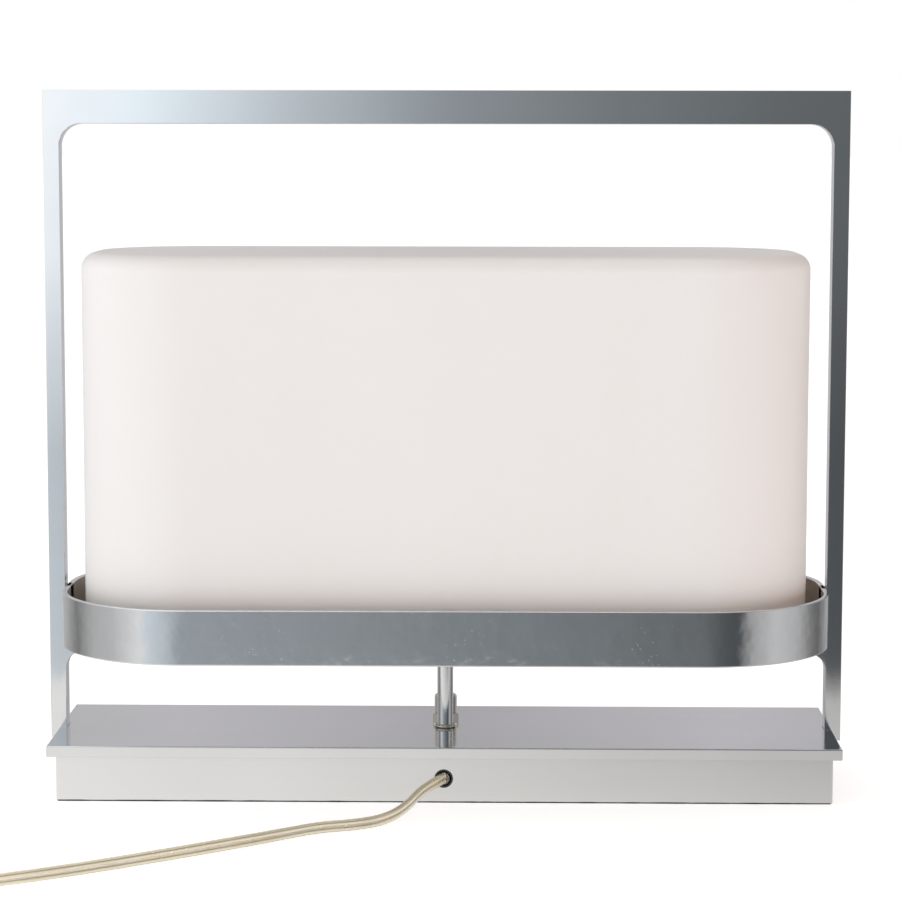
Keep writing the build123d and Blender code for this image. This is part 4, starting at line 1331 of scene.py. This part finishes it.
@dataclass
class Studio:
    """Pale floor, soft white surroundings, a screen that only the metal sees, and the camera."""

    screen_radius: float = 0.42
    screen_height: float = 1.1
    daylight: float = 1.25
    floor: float = 40.0
    place: Point = (0.0257, -1.6039, 0.3762)
    yaw: float = -0.8272
    pitch: float = 6.4752
    roll: float = 0.0816
    lens: float = 112.31
    cool: Colour = (0.93, 1.02, 1.085)
    plain: Colour = (0.985, 0.985, 0.985)
    dusk: Colour = (0.965, 0.94, 0.98)
    front: float = 50.0
    warm: Colour = (1.0, 0.985, 0.965)
    back: float = 118.0
    power: float = 1.55
    film: float = 36.0
    sight: float = 50.0
    paper_glow: float = 0.6
    overhead: Colour = (0.52, 0.505, 0.5)
    behind: Colour = (0.28, 0.28, 0.285)
    ceiling: Colour = (0.8, 0.8, 0.8)
    sky: tuple[tuple[float, Colour], ...] = (
        (0.0, (0.97, 0.945, 0.93)), (0.5, (0.9, 0.885, 0.87)), (0.62, (0.72, 0.62, 0.54)),
        (0.74, (0.36, 0.14, 0.045)), (1.0, (0.24, 0.06, 0.005)))
    rise: tuple[tuple[float, float], ...] = ((0.0, 0.0), (0.3, 0.36), (0.54, 0.78), (1.0, 1.0))
    high: tuple[tuple[float, float], ...] = (
        (-180, 0.49), (-152, 0.61), (-120, 0.7), (-70, 1.25), (-51, 1.4), (-31.4, 1.16), (-15.8, 0.68),
        (-0.2, 0.36), (15.3, 0.245), (33.2, 0.17), (46, 0.15), (62, 0.4), (90, 0.6), (130, 0.65), (152, 0.61),
        (180, 0.49))
    low: tuple[tuple[float, float], ...] = (
        (-180, 0.49), (-152, 0.61), (-115, 0.5), (-101, 0.34), (-97, 0.24), (-89, 0.42), (-80, 0.56),
        (-68.4, 0.62), (-52, 0.93), (-46.9, 0.8), (-35, 0.64), (-26, 0.42), (-0.8, 0.29), (21.7, 0.185),
        (36.8, 0.11), (46, 0.09), (53.7, 0.46), (68, 0.68), (83.4, 0.54), (93.8, 0.27), (103, 0.16),
        (125, 0.5), (152, 0.61), (180, 0.49))
    table: tuple[tuple[float, float], ...] = ((-0.3, 1.03), (-0.1, 0.94), (0.05, 0.82), (0.25, 0.66))
    rim: tuple[tuple[float, float], ...] = (
        (-0.3, 1.06), (-0.1, 0.88), (0.05, 0.72), (0.15, 0.58), (0.25, 0.36))

    def tint(self, bearing: float) -> Colour:
        """The wall's tint at a bearing: cool in front, plain at the sides and dusky behind."""
        if abs(bearing) < self.front:
            return self.cool
        return self.plain if abs(bearing) < self.back else self.dusk

    def wall_stops(self, curve: Sequence[tuple[float, float]]) -> list[tuple[float, Colour]]:
        """Ramp stops round the wall, from bearings in degrees and brightness."""
        return [((d + 180) / 360, tuple(v / self.power * c for c in self.tint(d))) for d, v in curve]

    def table_stops(self, curve: Sequence[tuple[float, float]]) -> list[tuple[float, Colour]]:
        """Ramp stops along the table, from metres and brightness."""
        first, last = curve[0][0], curve[-1][0]
        return [((d - first) / (last - first), tuple(v / self.power * c for c in self.warm))
                for d, v in curve]

    def build(self) -> None:
        """Makes the whole studio."""
        self.light_world()
        self.lay_floor()
        self.stand_screen()
        self.set_camera()
        bpy.context.scene.view_settings.view_transform = "Standard"

    def light_world(self) -> None:
        """White seen directly; as light, white from the left and a little tan from the right."""
        world = bpy.data.worlds.new("studio")
        world.use_nodes = True
        bpy.context.scene.world = world
        table = NodeTable(world.node_tree)
        background = world.node_tree.nodes["Background"]
        heading = table.add("ShaderNodeTexCoord").outputs["Generated"]
        split = table.add("ShaderNodeSeparateXYZ", None, {0: heading}).outputs
        around = Signal(table, split[0]) * 0.5 + 0.5
        sides = table.ramp(around, self.sky)
        upward = Signal(table, split[2]).held(0.2, 0.9)
        light = table.mix(upward, sides, self.overhead)
        seen = table.add("ShaderNodeLightPath").outputs["Is Camera Ray"]
        background.inputs["Strength"].default_value = self.daylight
        white = (1 / self.daylight,) * 3
        table.join(table.mix(seen, light, white), background.inputs["Color"])

    def lay_floor(self) -> None:
        """A pale matt floor."""
        half = self.floor / MM
        corners = ((-half, -half), (half, -half), (half, half), (-half, half))
        floor = from_rings("floor", [[(x, y, z) for x, y in corners] for z in (0.0, -5.0)])
        bench = Bench("floor_paper")
        bench.feed(
            Base_Color=bench.mix(bench.noise(3.0, 2.0), (0.82, 0.82, 0.82), (0.8, 0.8, 0.8)),
            Roughness=0.9,
            Specular_IOR_Level=0.0,
            Emission_Color=(0.985, 0.99, 1.0),
            Emission_Strength=self.paper_glow,
        )
        floor.data.materials.append(bench.material)

    def stand_screen(self) -> None:
        """A round screen that the polished metal reflects; nothing else sees it."""
        radius, height = self.screen_radius / MM, self.screen_height / MM
        can = [(0, 0.4), (radius, 0.4), (radius, height), (0, height)]
        screen = turned("screen", can, segments=180)
        material = bpy.data.materials.new("screen_light")
        material.use_nodes = True
        table = NodeTable(material.node_tree)
        material.node_tree.nodes.remove(material.node_tree.nodes["Principled BSDF"])
        where = table.add("ShaderNodeTexCoord").outputs["Object"]
        split = table.add("ShaderNodeSeparateXYZ", None, {0: where}).outputs
        along, depth, up = (Signal(table, output) for output in (split[0], split[1], split[2]))
        bearing = along.maths("ARCTAN2", depth * -1.0) / math.tau + 0.5
        low = table.ramp(bearing, self.wall_stops(self.low))
        high = table.ramp(bearing, self.wall_stops(self.high))
        rise = table.ramp(up.held(0.16, 0.4), [(place, (share,) * 3) for place, share in self.rise])
        walls = table.mix(rise, low, high)
        across = along.held(self.table[0][0], self.table[-1][0])
        near = table.ramp(across, self.table_stops(self.table))
        far = table.ramp(across, self.table_stops(self.rim))
        before = table.mix((depth * -1.0).held(0.262, 0.272), near, far)
        ground = table.mix(depth.held(0.05, 0.1), before, self.behind)
        around = table.mix(up.held(0.0005, 0.001), ground, walls)
        over = up.held(self.screen_height - 0.002, self.screen_height - 0.001)
        glow = table.add("ShaderNodeEmission", None, {
            "Color": table.mix(over, around, self.ceiling), "Strength": self.power})
        table.join(glow.outputs[0], material.node_tree.nodes["Material Output"].inputs["Surface"])
        screen.data.materials.append(material)
        for ray in ("camera", "diffuse", "shadow", "transmission", "volume_scatter"):
            setattr(screen, f"visible_{ray}", False)

    def set_camera(self) -> None:
        """The camera, a little above the lamp and square on."""
        yaw, pitch, roll = (math.radians(a) for a in (self.yaw, self.pitch, self.roll))
        level = math.cos(pitch)
        ahead = Vector((math.sin(yaw) * level, math.cos(yaw) * level, -math.sin(pitch)))
        right = Vector((math.cos(yaw), -math.sin(yaw), 0))
        up = right.cross(ahead)
        across = right * math.cos(roll) + up * math.sin(roll)
        above = up * math.cos(roll) - right * math.sin(roll)
        data = bpy.data.cameras.new("camera")
        data.lens, data.sensor_width, data.clip_end = self.lens, self.film, self.sight
        camera = link("camera", data)
        turn = Matrix((across, above, -ahead)).transposed().to_4x4()
        camera.matrix_world = Matrix.Translation(self.place) @ turn
        bpy.context.scene.camera = camera


def main() -> None:
    """Builds the lamp in order, then the studio."""
    logging.basicConfig(level=logging.INFO)
    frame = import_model()
    shop = PaintShop(frame["nodes"])
    cord_pieces = Plug().build(shop)
    MainsCord().build(shop, cord_pieces)
    for assembly in (Base(), BarFrame(), Stem(), ShadeBand(), OpalShade(), Lampholders(),
                     RotarySwitch(), Wiring()):
        assembly.build(shop)
    Studio().build()
    # The cord and its plug stay out of the polished metal's reflections.
    for piece in (*cord_pieces, bpy.data.objects["mains_cord"]):
        piece.visible_glossy = False


if __name__ == "__main__":
    main()
